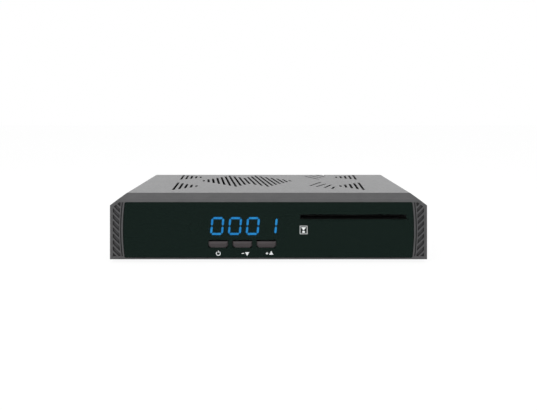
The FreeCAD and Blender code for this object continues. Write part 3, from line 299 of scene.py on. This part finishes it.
def turned_brass():
    """Bare brass of the hexagonal pillars."""
    return finish("turned_brass", "B8944A", "C9A65C", 0.28, 1.5, 1.0)


def gold_flash():
    """Thin gold over nickel, on the contact springs."""
    return finish("gold_flash", "D9A84A", "E6BC63", 0.22, 1.0, 1.0)


def extruded_aluminium():
    """Mill-finish extrusion: fine die lines along Y, 0.3 mm apart."""
    material, tree, shader, place = start("extruded_aluminium")
    stretch = node(tree, "ShaderNodeMapping", {"Vector": place, "Scale": (1.0, 0.02, 1.0)}).outputs["Vector"]
    lines = mottle(tree, stretch, 0.3, 0.0, 1.0)
    tree.links.new(tint(tree, lines, "B4B4B6", "C8C8CA"), shader.inputs["Base Color"])
    tree.links.new(mottle(tree, stretch, 0.6, 0.28, 0.40), shader.inputs["Roughness"])
    shader.inputs["Metallic"].default_value = 1.0
    relief(tree, shader, lines, 0.01, 0.1)
    return material


# Electronics

def solder_mask():
    """Green solder mask over copper tracks: gloss, with the tracks as a low relief of 1.3 mm pitch."""
    material, tree, shader, place = start("solder_mask")
    tracks = node(tree, "ShaderNodeTexBrick", {"Vector": place, "Scale": 1.0, "Brick Width": 7.0 * MM,
                                               "Row Height": 1.3 * MM, "Mortar Size": 0.22 * MM}, offset=0.37)
    tree.links.new(tint(tree, tracks.outputs["Fac"], "0F4A26", "1E6B3A"), shader.inputs["Base Color"])
    tree.links.new(mottle(tree, place, 3.0, 0.22, 0.34), shader.inputs["Roughness"])
    shader.inputs["IOR"].default_value = 1.52
    relief(tree, shader, tracks.outputs["Fac"], 0.03)
    return material


def moulded_epoxy():
    """Black moulding compound of the chips, matt with a fine speckle."""
    return finish("moulded_epoxy", "17171A", "202023", 0.55, 0.5, depth_mm=0.02, ior=1.55)


def sleeved_capacitor():
    """Shrunk dark PVC sleeve, with the bare aluminium of the can on top."""
    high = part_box("capacitors")[1]
    material, tree, shader, place = start("sleeved_capacitor")
    split = node(tree, "ShaderNodeSeparateXYZ", {"Vector": place})
    top = node(tree, "ShaderNodeMath", {0: split.outputs["Z"], 1: high.z - 1.6 * MM}, operation="GREATER_THAN")
    tree.links.new(tint(tree, top.outputs["Value"], "14141C", "B9B9BB"), shader.inputs["Base Color"])
    tree.links.new(top.outputs["Value"], shader.inputs["Metallic"])
    tree.links.new(mottle(tree, place, 1.5, 0.28, 0.36), shader.inputs["Roughness"])
    return material


def sintered_ferrite():
    """Ferrite cores: dark grey, granular and matt."""
    return finish("sintered_ferrite", "232325", "303033", 0.6, 0.4, depth_mm=0.03)


# Finish of each carried-over node

NODE_FINISHES = {
    front_abs: ("front_bezel",),
    key_abs: ("power_button", "channel_down_button", "channel_up_button"),
    powder_coat: ("top_cover", "chassis_base"),
    smoked_acrylic: ("front_window",),
    lit_resin: ("lit_segments",),
    dark_resin: ("unlit_segments",),
    display_epoxy: ("display_module",),
    infrared_epoxy: ("infrared_receiver",),
    solder_mask: ("front_board", "main_board", "card_board"),
    zinc_plate: ("front_board_screws", "card_board_screws", "main_board_screws"),
    black_oxide: ("cover_screws", "bezel_screws"),
    nickel_plate: ("lnb_in_connector", "lnb_loop_connector", "connector_nuts", "connector_washers",
                   "audio_jack_sleeve", "power_inlet_pin"),
    tinplate: ("tuner_can", "video_socket", "data_socket", "switch_housings"),
    turned_brass: ("card_board_spacers",),
    gold_flash: ("card_contacts", "av_contacts"),
    extruded_aluminium: ("heat_sink",),
    moulded_epoxy: ("main_processor", "memory_chips"),
    silicone_pad: ("thermal_pad",),
    natural_nylon: ("front_header", "main_header", "heat_sink_pins"),
    black_nylon: ("card_reader", "power_plunger", "channel_down_plunger", "channel_up_plunger", "video_tongue",
                  "data_tongue", "av_socket", "power_inlet"),
    polyester_film: ("ribbon_cable",),
    sleeved_capacitor: ("capacitors",),
    sintered_ferrite: ("power_inductors",),
    orange_nylon: ("audio_jack",),
    white_ptfe: ("connector_insulators",),
    foot_rubber: ("feet",),
}

made_materials = {}


def dress(piece, make_material):
    """Gives a piece one material all over, which is made once."""
    if make_material not in made_materials:
        made_materials[make_material] = make_material()
    piece.data.materials.clear()
    piece.data.materials.append(made_materials[make_material])


# Modelling helpers

def clear_selection():
    """Leaves edit mode and deselects everything."""
    if bpy.context.object and bpy.context.object.mode != "OBJECT":
        bpy.ops.object.mode_set(mode="OBJECT")
    bpy.ops.object.select_all(action="DESELECT")


def make_active(piece):
    """Selects one piece alone and makes it the active one."""
    clear_selection()
    piece.select_set(True)
    bpy.context.view_layer.objects.active = piece


def bake_place(piece):
    """Puts a piece's place, turn and scale into its mesh."""
    make_active(piece)
    bpy.ops.object.transform_apply(location=True, rotation=True, scale=True)


def pick_faces(piece, wanted):
    """Goes into edit mode with the faces selected that wanted(middle, normal) accepts."""
    bpy.ops.object.mode_set(mode="OBJECT")
    for item in list(piece.data.vertices) + list(piece.data.edges):
        item.select = False
    for face in piece.data.polygons:
        face.select = wanted(face.center, face.normal)
    bpy.context.tool_settings.mesh_select_mode = (False, False, True)
    bpy.ops.object.mode_set(mode="EDIT")


def pick_edges(piece, wanted):
    """Goes into edit mode with the edges selected that wanted(first end, second end) accepts."""
    bpy.ops.object.mode_set(mode="OBJECT")
    for item in list(piece.data.vertices) + list(piece.data.polygons):
        item.select = False
    for edge in piece.data.edges:
        first, second = (piece.data.vertices[i].co for i in edge.vertices)
        edge.select = wanted(first, second)
    bpy.context.tool_settings.mesh_select_mode = (False, True, False)
    bpy.ops.object.mode_set(mode="EDIT")


def apply_modifier(piece, kind, **settings):
    """Adds a modifier with its settings and applies it."""
    make_active(piece)
    modifier = piece.modifiers.new(kind.lower(), kind)
    for name, value in settings.items():
        setattr(modifier, name, value)
    bpy.ops.object.modifier_apply(modifier=modifier.name)


def turned(rings, sides=ROUND_SIDES):
    """Round piece about Z with closed ends: a short cone, drawn on through (radius, height) rings."""
    clear_selection()
    (radius, height), (last_radius, last_height) = rings[:2]
    bpy.ops.mesh.primitive_cone_add(vertices=sides, radius1=radius, radius2=last_radius,
                                    depth=last_height - height, location=(0, 0, (height + last_height) / 2))
    piece = bpy.context.object
    bake_place(piece)
    pick_faces(piece, lambda middle, normal: normal.z > ALONG)
    for radius, height in rings[2:]:
        bpy.ops.mesh.extrude_region_move(TRANSFORM_OT_translate={"value": (0, 0, height - last_height)})
        share = radius / last_radius
        bpy.ops.transform.resize(value=(share, share, 1), center_override=(0, 0, height))
        last_radius, last_height = radius, height
    bpy.ops.object.mode_set(mode="OBJECT")
    return piece


def cut_away(piece, cutter):
    """Cuts one piece with another, which is used up."""
    apply_modifier(piece, "BOOLEAN", operation="DIFFERENCE", solver="EXACT", object=cutter)
    bpy.data.objects.remove(cutter)


def bore(piece, radius, length):
    """Round hole about Z through a piece of some length that begins at height 0."""
    clear_selection()
    bpy.ops.mesh.primitive_cylinder_add(vertices=ROUND_SIDES, radius=radius, depth=length + 2 * MM,
                                        location=(0, 0, length / 2))
    cutter = bpy.context.object
    cut_away(piece, cutter)


def stand(piece, place, turn):
    """Turns a piece from Z along another direction and moves it to its place."""
    piece.rotation_euler = TURNS[turn]
    piece.location = place
    bake_place(piece)


def copy_piece(piece):
    """A copy with a mesh of its own."""
    twin = piece.copy()
    twin.data = piece.data.copy()
    bpy.context.collection.objects.link(twin)
    return twin


def join(pieces):
    """Several pieces as one."""
    for piece in pieces:
        bake_place(piece)
    clear_selection()
    for piece in pieces:
        piece.select_set(True)
    bpy.context.view_layer.objects.active = pieces[0]
    bpy.ops.object.join()
    return bpy.context.object


def settle(piece, name, make_material, body="receiver"):
    """Names, shades and dresses a finished piece and lets it ride on its body."""
    bake_place(piece)
    bpy.ops.object.shade_smooth_by_angle(angle=SMOOTH_ANGLE)
    piece.name = name
    piece.data.name = name
    dress(piece, make_material)
    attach(piece, body)
    return piece


def middle_of(name):
    """Middle of a CAD piece's box."""
    low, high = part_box(name)
    return (low + high) / 2


# Printed marks

def thicken_ink(ink):
    """Draws the flat print in edit mode out towards the front and closes it."""
    bpy.ops.mesh.select_all(action="SELECT")
    bpy.ops.mesh.extrude_region_move(TRANSFORM_OT_translate={"value": (0, -ink, 0)})
    bpy.ops.mesh.select_all(action="SELECT")
    bpy.ops.mesh.normals_make_consistent(inside=False)
    bpy.ops.object.mode_set(mode="OBJECT")


def ink_bar(x, y, z, wide, high, ink):
    """Upright printed bar about a middle point."""
    clear_selection()
    bpy.ops.mesh.primitive_plane_add(size=1.0, location=(x, y, z), rotation=(math.pi / 2, 0, 0))
    piece = bpy.context.object
    piece.scale = (wide, high, 1)
    bake_place(piece)
    bpy.ops.object.mode_set(mode="EDIT")
    thicken_ink(ink)
    return piece


def ink_triangle(x, y, z, wide, high, ink):
    """Upright printed triangle that points up, or down where its height is negative."""
    clear_selection()
    bpy.ops.mesh.primitive_circle_add(vertices=3, radius=1.0, fill_type="NGON", location=(x, y, z),
                                      rotation=(math.pi / 2, 0, 0))
    piece = bpy.context.object
    piece.scale = (wide / math.sqrt(3), high / 1.5, 1)
    bake_place(piece)
    bpy.ops.object.mode_set(mode="EDIT")
    thicken_ink(ink)
    return piece


def ink_open_ring(x, y, z, radius, stroke, gap, ink):
    """Upright printed ring with a gap at its top."""
    clear_selection()
    inner = radius - stroke / 2
    bpy.ops.mesh.primitive_circle_add(vertices=ROUND_SIDES, radius=inner, location=(x, y, z),
                                      rotation=(math.pi / 2, 0, 0))
    piece = bpy.context.object
    bake_place(piece)
    pick_edges(piece, lambda a, b: min(a.z, b.z) > z and max(abs(a.x - x), abs(b.x - x)) < gap / 2)
    bpy.ops.mesh.delete(type="EDGE")
    bpy.ops.mesh.select_all(action="SELECT")
    bpy.ops.mesh.extrude_edges_move(TRANSFORM_OT_translate={"value": (0, 0, 0)})
    share = (radius + stroke / 2) / inner
    bpy.ops.transform.resize(value=(share, 1, share), center_override=(x, y, z))
    thicken_ink(ink)
    return piece


# Fasteners

def cross_screw(radius, high, shank, length):
    """Domed head with a cross recess, its seat at height 0 and its shank below."""
    dome = [(radius * share, high * up)
            for share, up in ((1.0, 0.0), (0.97, 0.3), (0.78, 0.72), (0.45, 0.95), (0.1, 1.0))]
    head = turned([(shank, -length), (shank, 0)] + dome)
    wide, thin, deep = radius * 1.15, radius * 0.24, high * 0.8
    recess_middle = high * 0.85
    for size in ((wide, thin, deep), (thin, wide, deep)):
        clear_selection()
        bpy.ops.mesh.primitive_cube_add(size=1.0, location=(0, 0, recess_middle))
        cutter = bpy.context.object
        cutter.scale = size
        bake_place(cutter)
        cut_away(head, cutter)
    return head


# Sizes and steps

class ReceiverSettings(bpy.types.PropertyGroup):
    glow: bpy.props.FloatProperty(
        name="Display glow", description="How bright the lit segments are behind the window",
        default=33.0, min=0.0)
    ink: bpy.props.FloatProperty(
        name="Ink thickness", description="Thickness of the printed marks", default=0.04 * MM, unit="LENGTH")
    stroke: bpy.props.FloatProperty(
        name="Mark stroke", description="Width of the lines of the button marks",
        default=0.42 * MM, unit="LENGTH")
    mark_drop: bpy.props.FloatProperty(
        name="Mark drop", description="From a button's middle down to its mark",
        default=5.4 * MM, unit="LENGTH")
    key_slope: bpy.props.FloatProperty(
        name="Key slope", description="How far a key's face stands in front of its edge",
        default=1.0 * MM, unit="LENGTH")
    thread_pitch: bpy.props.FloatProperty(
        name="Thread pitch", description="Pitch of the aerial connectors' thread",
        default=0.79 * MM, unit="LENGTH")
    thread_depth: bpy.props.FloatProperty(
        name="Thread depth", description="Depth of the aerial connectors' thread",
        default=0.4 * MM, unit="LENGTH")
    screw_head: bpy.props.FloatProperty(
        name="Screw head", description="Radius of a case screw's head", default=2.7 * MM, unit="LENGTH")
    lip_screw_x: bpy.props.FloatProperty(
        name="Lip screw place", description="From the middle to a screw at the back",
        default=62.0 * MM, unit="LENGTH")
    foot_radius: bpy.props.FloatProperty(
        name="Foot radius", description="Radius of a rubber foot", default=6.5 * MM, unit="LENGTH")
    floor_size: bpy.props.FloatProperty(
        name="Floor size", description="Side of the pale floor", default=6.0, unit="LENGTH")
    key_watts: bpy.props.FloatProperty(
        name="Key light", description="Power of the soft light above", default=2.2, min=0.0)
    fill_watts: bpy.props.FloatProperty(
        name="Fill light", description="Power of the soft light in front", default=4.0, min=0.0)


class RECEIVER_OT_finishes(bpy.types.Operator):
    """Gives every carried-over piece its material"""
    bl_idname = "receiver.finishes"
    bl_label = "Finishes"

    def execute(self, context):
        for make_material, names in NODE_FINISHES.items():
            for name in names:
                dress(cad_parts[name], make_material)
        return {"FINISHED"}


class RECEIVER_OT_keys(bpy.types.Operator):
    """Keys whose sloping faces catch the light, in place of the plain ones"""
    bl_idname = "receiver.keys"
    bl_label = "Keys"

    def execute(self, context):
        for name in ("power", "channel_down", "channel_up"):
            low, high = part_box(name + "_button")
            cap = self.make_cap(low, high, context.scene.receiver.key_slope)
            settle(cap, name + "_key_cap", key_abs, name + "_key")
            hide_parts(name + "_button")
        return {"FINISHED"}

    def make_cap(self, low, high, slope):
        """Flange at the back, then a cap with cut lower corners, whose face slopes up to a narrow crest."""
        flange, thick, corner, soft_edge = 0.75 * MM, 1.0 * MM, 1.3 * MM, 0.1 * MM
        cap_share, crest_wide, crest_tall, crest_place = 0.87, 0.88, 0.25, 0.62
        middle = (low + high) / 2
        bottom = low.z + flange
        tall = high.z - low.z - 2 * flange
        front = low.y + slope
        clear_selection()
        bpy.ops.mesh.primitive_cube_add(size=1.0, location=(middle.x, high.y - thick / 2, middle.z))
        cap = bpy.context.object
        cap.scale = (high.x - low.x, thick, high.z - low.z)
        bake_place(cap)
        pick_faces(cap, lambda point, normal: normal.y < -ALONG)
        bpy.ops.mesh.inset(thickness=flange)
        bpy.ops.transform.resize(value=(1, 1, cap_share), center_override=(middle.x, high.y - thick, bottom))
        bpy.ops.mesh.extrude_region_move(TRANSFORM_OT_translate={"value": (0, front - high.y + thick, 0)})
        pick_edges(cap, lambda a, b: max(a.z, b.z) < bottom + NEAR and abs(a.x - b.x) < NEAR
                   and min(a.y, b.y) < front + NEAR)
        bpy.ops.mesh.bevel(offset=corner, segments=1)
        pick_faces(cap, lambda point, normal: normal.y < -ALONG and point.y < front + NEAR)
        bpy.ops.mesh.extrude_region_move(TRANSFORM_OT_translate={"value": (0, -slope, 0)})
        bpy.ops.transform.resize(value=(crest_wide, 1, crest_tall),
                                 center_override=(middle.x, low.y, bottom + crest_place * tall))
        bpy.ops.object.mode_set(mode="OBJECT")
        apply_modifier(cap, "BEVEL", width=soft_edge, segments=2, limit_method="ANGLE")
        return cap


class RECEIVER_OT_button_marks(bpy.types.Operator):
    """Printed symbols under the three keys"""
    bl_idname = "receiver.button_marks"
    bl_label = "Button marks"

    def execute(self, context):
        sizes = context.scene.receiver
        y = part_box("front_window")[0].y
        ink, stroke = sizes.ink, sizes.stroke
        radius, gap, bar_raised, bar_long = 1.1 * MM, 1.1 * MM, 1.0 * MM, 1.2 * MM
        spot = middle_of("power_button")
        z = spot.z - sizes.mark_drop
        ring = ink_open_ring(spot.x, y, z, radius, stroke, gap, ink)
        bar = ink_bar(spot.x, y, z + bar_raised, stroke, bar_long, ink * OVERPRINT)
        settle(join([ring, bar]), "power_mark", white_ink)
        sign_shift, sign_long = 0.3 * MM, 1.4 * MM
        arrow_shift, arrow_wide, arrow_high = 2.4 * MM, 2.4 * MM, 2.1 * MM
        for name, way in (("channel_down", -1), ("channel_up", 1)):
            spot = middle_of(name + "_button")
            z = spot.z - sizes.mark_drop
            left = spot.x + sign_shift
            marks = [ink_bar(left, y, z, sign_long, stroke, ink)]
            if way > 0:
                marks.append(ink_bar(left, y, z, stroke, sign_long, ink * OVERPRINT))
            marks.append(ink_triangle(left + arrow_shift, y, z, arrow_wide, way * arrow_high, ink))
            settle(join(marks), name + "_mark", white_ink)
        return {"FINISHED"}


class RECEIVER_OT_card_mark(bpy.types.Operator):
    """Printed pictogram of a card and an arrow under the card slot, and black lines beside the slot that paint
    its shade
    """
    bl_idname = "receiver.card_mark"
    bl_label = "Card mark"

    def execute(self, context):
        ink = context.scene.receiver.ink
        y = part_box("front_window")[0].y
        slot = middle_of("card_reader")
        self.print_card(slot.x, y, slot.z, ink)
        self.paint_slot_shade(slot.x, y, slot.z, ink)
        return {"FINISHED"}

    def print_card(self, slot_x, y, slot_z, ink):
        """Outline of a card with an arrow that points down to its chip."""
        left_of_slot, below_slot = 28.2 * MM, 7.2 * MM
        stroke, half_wide, half_high = 0.26 * MM, 2.0 * MM, 2.2 * MM
        arrow_raised, arrow_wide, arrow_high = 0.9 * MM, 2.8 * MM, 1.9 * MM
        chip_drop, chip_wide, chip_high, chip_print = 1.1 * MM, 1.5 * MM, 1.0 * MM, 1.02
        x = slot_x - left_of_slot
        z = slot_z - below_slot
        marks = [ink_bar(x, y, z + side * half_high, 2 * half_wide + stroke, stroke, ink) for side in (-1, 1)]
        marks += [ink_bar(x + side * half_wide, y, z, stroke, 2 * half_high, ink * OVERPRINT)
                  for side in (-1, 1)]
        marks.append(ink_triangle(x, y, z + arrow_raised, arrow_wide, -arrow_high, ink))
        marks.append(ink_bar(x, y, z - chip_drop, chip_wide, chip_high, ink * chip_print))
        settle(join(marks), "card_mark", white_ink)

    def paint_slot_shade(self, x, y, z, ink):
        """Black lines above and below the slot, on the floor of its hollow: painted shade that widens the
        slot's dark band.
        """
        hollow, slot_half, raised = 0.4 * MM, 0.8 * MM, 0.4 * MM
        long, thick_below, thick_above = 60.6 * MM, 0.75 * MM, 0.3 * MM
        # painted shade: black bars stand in for the shadow in and around the slot
        lines = [ink_bar(x, y + hollow, z + raised + side * (slot_half + thick / 2), long, thick, ink)
                 for side, thick in ((-1, thick_below), (1, thick_above))]
        settle(join(lines), "slot_painted_shade", painted_shade_ink)


class RECEIVER_OT_aerial_connectors(bpy.types.Operator):
    """Threaded barrels, nuts, washers and insulators of the two aerial connectors"""
    bl_idname = "receiver.aerial_connectors"
    bl_label = "Aerial connectors"

    def execute(self, context):
        sizes = context.scene.receiver
        names = ("lnb_in_connector", "lnb_loop_connector")
        spots = [middle_of(name) for name in names]
        low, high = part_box(names[0])
        nut_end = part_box("connector_nuts")[1].y
        barrel = self.make_barrel(sizes, (high.x - low.x) / 2, high.y - low.y, nut_end - low.y)
        for name, spot in zip(names, spots):
            piece = copy_piece(barrel)
            stand(piece, (spot.x, low.y, spot.z), "+y")
            settle(piece, name + "_thread", nickel_plate)
            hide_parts(name)
        bpy.data.objects.remove(barrel)
        self.place_pair(self.make_nut, "connector_nuts", spots, nickel_plate, "nickel_plate")
        self.place_pair(self.make_washer, "connector_washers", spots, nickel_plate, "nickel_plate")
        self.place_pair(self.make_insulator, "connector_insulators", spots, white_ptfe, "white_insulator")
        return {"FINISHED"}

    def make_barrel(self, sizes, radius, length, nut_end):
        """Plain up to the nut's end, then threaded, with a cup for the insulator."""
        pitch = sizes.thread_pitch
        root = radius - sizes.thread_depth
        shank = radius - SHANK_RELIEF
        crest_start, crest_end, plain_end = 0.4, 0.55, 0.3 * MM
        cup_radius, cup_depth, lead = 3.45 * MM, 8.0 * MM, 0.2 * MM
        rings = [(shank, 0), (shank, nut_end)]
        height = nut_end
        while height + pitch < length - plain_end:
            rings += [(radius, height + pitch * crest_start), (radius, height + pitch * crest_end),
                      (root, height + pitch)]
            height += pitch
        rings += [(root, length), (cup_radius + lead, length), (cup_radius, length - lead),
                  (cup_radius, length - cup_depth)]
        return turned(rings)

    def place_pair(self, make_model, node_name, spots, make_material, slot):
        """Makes a piece once, puts a copy at each connector and lets the pair stand for its CAD node."""
        low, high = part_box(node_name)
        model = make_model((high.z - low.z) / 2, high.y - low.y)
        pair = []
        for spot in spots:
            piece = copy_piece(model)
            stand(piece, (spot.x, low.y, spot.z), "+y")
            pair.append(piece)
        bpy.data.objects.remove(model)
        piece = settle(join(pair), node_name + "_round", make_material)
        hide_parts(node_name)

    def make_nut(self, half_flats, thick):
        """Hexagon nut with both ends chamfered."""
        bore_radius, edge = 4.84 * MM, 0.3 * MM
        corner = half_flats / math.cos(math.pi / 6)
        nut = turned([(corner - edge, 0), (corner, edge), (corner, thick - edge), (corner - edge, thick)], 6)
        nut.rotation_euler = (0, 0, math.pi / 6)
        bake_place(nut)
        bore(nut, bore_radius, thick)
        return nut

    def make_washer(self, radius, thick):
        """Toothed lock washer: notches all round its rim."""
        bore_radius, rim_sides = 4.86 * MM, 64
        notch_count, notch_deep, notch_wide = 16, 1.6 * MM, 0.7 * MM
        washer = turned([(radius, 0), (radius, thick)], rim_sides)
        bore(washer, bore_radius, thick)
        clear_selection()
        bpy.ops.mesh.primitive_cube_add(size=1.0, location=(radius, 0, thick / 2))
        notch = bpy.context.object
        notch.scale = (notch_deep, notch_wide, thick * 2)
        bake_place(notch)
        notches = [notch]
        for i in range(1, notch_count):
            twin = copy_piece(notch)
            twin.rotation_euler = (0, 0, 2 * math.pi * i / notch_count)
            notches.append(twin)
        cut_away(washer, join(notches))
        return washer

    def make_insulator(self, radius, length):
        """White plug with a funnel into the hole for the cable's core."""
        edge, mouth, throat, hole = 0.3 * MM, 1.3 * MM, 0.6 * MM, 0.55 * MM
        funnel_deep, hole_deep = 0.8 * MM, 4.0 * MM
        return turned([(radius, 0), (radius, length - edge), (radius - edge, length), (mouth, length),
                       (throat, length - funnel_deep), (hole, length - hole_deep)])


class RECEIVER_OT_audio_sleeve(bpy.types.Operator):
    """Rolled rim and round bore of the digital audio socket's sleeve"""
    bl_idname = "receiver.audio_sleeve"
    bl_label = "Audio sleeve"

    def execute(self, context):
        low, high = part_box("audio_jack_sleeve")
        radius = (high.x - low.x) / 2
        length = high.y - low.y
        wall, shank_long, rolled_long, rolled_in = 0.42 * MM, 1.1 * MM, 0.2 * MM, 0.12 * MM
        shank = radius - SHANK_RELIEF
        tube = turned([(shank, 0), (shank, shank_long), (radius, shank_long), (radius, length - rolled_long),
                       (radius - rolled_in, length)])
        bore(tube, radius - wall, length)
        spot = middle_of("audio_jack_sleeve")
        stand(tube, (spot.x, low.y, spot.z), "+y")
        settle(tube, "audio_sleeve_rolled", nickel_plate)
        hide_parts("audio_jack_sleeve")
        return {"FINISHED"}


class RECEIVER_OT_case_screws(bpy.types.Operator):
    """Domed screws with a cross recess, on the cover and under the front"""
    bl_idname = "receiver.case_screws"
    bl_label = "Case screws"

    def execute(self, context):
        sizes = context.scene.receiver
        shank, length = 1.4 * MM, 4.5 * MM
        head_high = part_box("cover_screws")[1].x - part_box("top_cover")[1].x
        model = cross_screw(sizes.screw_head, head_high, shank, length)
        self.place_cover_screws(model, sizes)
        self.place_under_screws(model, sizes.screw_head)
        bpy.data.objects.remove(model)
        return {"FINISHED"}

    def place_cover_screws(self, model, sizes):
        """One at the middle of each side and two in the lip at the back."""
        radius = sizes.screw_head
        low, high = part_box("cover_screws")
        cover_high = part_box("top_cover")[1]
        side_y = (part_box("front_bezel")[0].y + cover_high.y) / 2
        screws = []
        for side, turn in ((-1, "-x"), (1, "+x")):
            screw = copy_piece(model)
            stand(screw, (side * cover_high.x, side_y, low.z + radius), turn)
            screws.append(screw)
            screw = copy_piece(model)
            stand(screw, (side * sizes.lip_screw_x, cover_high.y, high.z - radius), "+y")
            screws.append(screw)
        piece = settle(join(screws), "cover_screws_domed", black_oxide)
        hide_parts("cover_screws")

    def place_under_screws(self, model, radius):
        """Two below, which hold the front."""
        low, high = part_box("bezel_screws")
        base_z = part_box("chassis_base")[0].z
        screws = []
        for x in (low.x + radius, high.x - radius):
            screw = copy_piece(model)
            stand(screw, (x, (low.y + high.y) / 2, base_z), "-z")
            screws.append(screw)
        piece = settle(join(screws), "bezel_screws_domed", black_oxide)
        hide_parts("bezel_screws")


class RECEIVER_OT_feet(bpy.types.Operator):
    """Round rubber feet with a rolled edge and a shallow dish"""
    bl_idname = "receiver.feet"
    bl_label = "Feet"

    def execute(self, context):
        radius = context.scene.receiver.foot_radius
        low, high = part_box("feet")
        tall = high.z - low.z
        shares = ((1.0, 0.0), (1.0, 0.4), (0.985, 0.75), (0.94, 1.0), (0.55, 1.0), (0.5, 0.8))
        model = turned([(radius * out, tall * down) for out, down in shares])
        feet = []
        for x in (low.x + radius, high.x - radius):
            for y in (low.y + radius, high.y - radius):
                foot = copy_piece(model)
                stand(foot, (x, y, high.z), "-z")
                feet.append(foot)
        bpy.data.objects.remove(model)
        piece = settle(join(feet), "feet_round", foot_rubber)
        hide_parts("feet")
        return {"FINISHED"}


class RECEIVER_OT_stage(bpy.types.Operator):
    """Pale floor, soft lamps, white surroundings and the picture's camera"""
    bl_idname = "receiver.stage"
    bl_label = "Stage"

    def execute(self, context):
        sizes = context.scene.receiver
        self.make_floor(sizes.floor_size)
        self.make_world(context.scene)
        self.make_lamp("key_light", (0.0, -0.25, 0.9), 0.8, sizes.key_watts)
        self.make_lamp("fill_light", (-0.35, -0.95, 0.45), 0.9, sizes.fill_watts)
        self.make_camera(context.scene)
        context.scene.view_settings.view_transform = "Standard"
        return {"FINISHED"}

    def backdrop_share(self, tree):
        """1 for the rays that see the white backdrop: from the camera, a mirror or through glass."""
        path = node(tree, "ShaderNodeLightPath").outputs
        seen = path["Is Camera Ray"]
        for kind in ("Is Glossy Ray", "Is Transmission Ray"):
            seen = node(tree, "ShaderNodeMath", {0: seen, 1: path[kind]}, operation="MAXIMUM").outputs["Value"]
        return seen

    def make_floor(self, size):
        """White where the camera sees it, apart from a faint shadow, and a hair below the feet."""
        below_feet, white_share, white_strength = 0.02 * MM, 0.85, 1.08
        clear_selection()
        bpy.ops.mesh.primitive_plane_add(size=size, location=(0, 0, -below_feet))
        floor = bpy.context.object
        floor.name = "floor"
        material, tree, shader, place = start("pale_floor")
        pale = tint(tree, mottle(tree, place, 400.0, 0.0, 1.0), "EEEEEE", "F2F2F2")
        tree.links.new(pale, shader.inputs["Base Color"])
        shader.inputs["Roughness"].default_value = 0.7
        white = node(tree, "ShaderNodeEmission", {"Color": (1, 1, 1, 1), "Strength": white_strength})
        share = node(tree, "ShaderNodeMath", {0: self.backdrop_share(tree), 1: white_share},
                     operation="MULTIPLY")
        mixed = node(tree, "ShaderNodeMixShader", {"Fac": share.outputs["Value"]})
        tree.links.new(shader.outputs["BSDF"], mixed.inputs[1])
        tree.links.new(white.outputs["Emission"], mixed.inputs[2])
        tree.links.new(mixed.outputs["Shader"], tree.nodes["Material Output"].inputs["Surface"])
        floor.data.materials.append(material)

    def make_world(self, scene):
        """A dim even light, and white where the camera, a mirror or glass sees it."""
        world = bpy.data.worlds.new("studio")
        scene.world = world
        world.use_nodes = True
        tree = world.node_tree
        tree.nodes.clear()
        dim, white = 0.45, 1.0
        strength = node(tree, "ShaderNodeMapRange", {"Value": self.backdrop_share(tree), "To Min": dim,
                                                     "To Max": white}).outputs["Result"]
        sky = node(tree, "ShaderNodeBackground", {"Color": (1, 1, 1, 1), "Strength": strength})
        out = node(tree, "ShaderNodeOutputWorld")
        tree.links.new(sky.outputs["Background"], out.inputs["Surface"])

    def make_lamp(self, name, place, size, watts):
        """Square soft lamp that faces the receiver."""
        bpy.ops.object.light_add(type="AREA", location=place)
        lamp = bpy.context.object
        lamp.name = name
        lamp.data.size = size
        lamp.data.energy = watts
        lamp.rotation_euler = (-Vector(place)).to_track_quat("-Z", "Y").to_euler()

    def make_camera(self, scene):
        """The picture's camera, level and square to the front."""
        rim_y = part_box("front_bezel")[0].y
        bpy.ops.object.camera_add(location=(0, rim_y - CAMERA_AWAY, CAMERA_HIGH), rotation=(math.pi / 2, 0, 0))
        camera = bpy.context.object
        camera.data.sensor_width = SENSOR_MM
        camera.data.lens = LENS_PX / PICTURE_WIDTH * SENSOR_MM
        camera.data.shift_y = (EYE_PX_Y - PICTURE_HEIGHT / 2) / PICTURE_WIDTH
        camera.data.clip_start = 0.01
        scene.camera = camera


STEPS = ("finishes", "keys", "button_marks", "card_mark", "aerial_connectors", "audio_sleeve", "case_screws",
         "feet", "stage")


class RECEIVER_PT_panel(bpy.types.Panel):
    """Lists the sizes and the steps that finish the receiver"""
    bl_idname = "RECEIVER_PT_panel"
    bl_label = "Satellite receiver"
    bl_space_type = "VIEW_3D"
    bl_region_type = "UI"
    bl_category = "Receiver"

    def draw(self, context):
        sizes = context.scene.receiver
        for name in ReceiverSettings.__annotations__:
            self.layout.prop(sizes, name)
        for step in STEPS:
            self.layout.operator("receiver." + step)


CLASSES = (ReceiverSettings, RECEIVER_OT_finishes, RECEIVER_OT_keys, RECEIVER_OT_button_marks,
           RECEIVER_OT_card_mark, RECEIVER_OT_aerial_connectors, RECEIVER_OT_audio_sleeve,
           RECEIVER_OT_case_screws, RECEIVER_OT_feet, RECEIVER_OT_stage, RECEIVER_PT_panel)


def register():
    for made in CLASSES:
        bpy.utils.register_class(made)
    bpy.types.Scene.receiver = bpy.props.PointerProperty(type=ReceiverSettings)


def unregister():
    del bpy.types.Scene.receiver
    for made in reversed(CLASSES):
        bpy.utils.unregister_class(made)


def main():
    register()
    for step in STEPS:
        getattr(bpy.ops.receiver, step)()


if __name__ == "__main__":
    main()
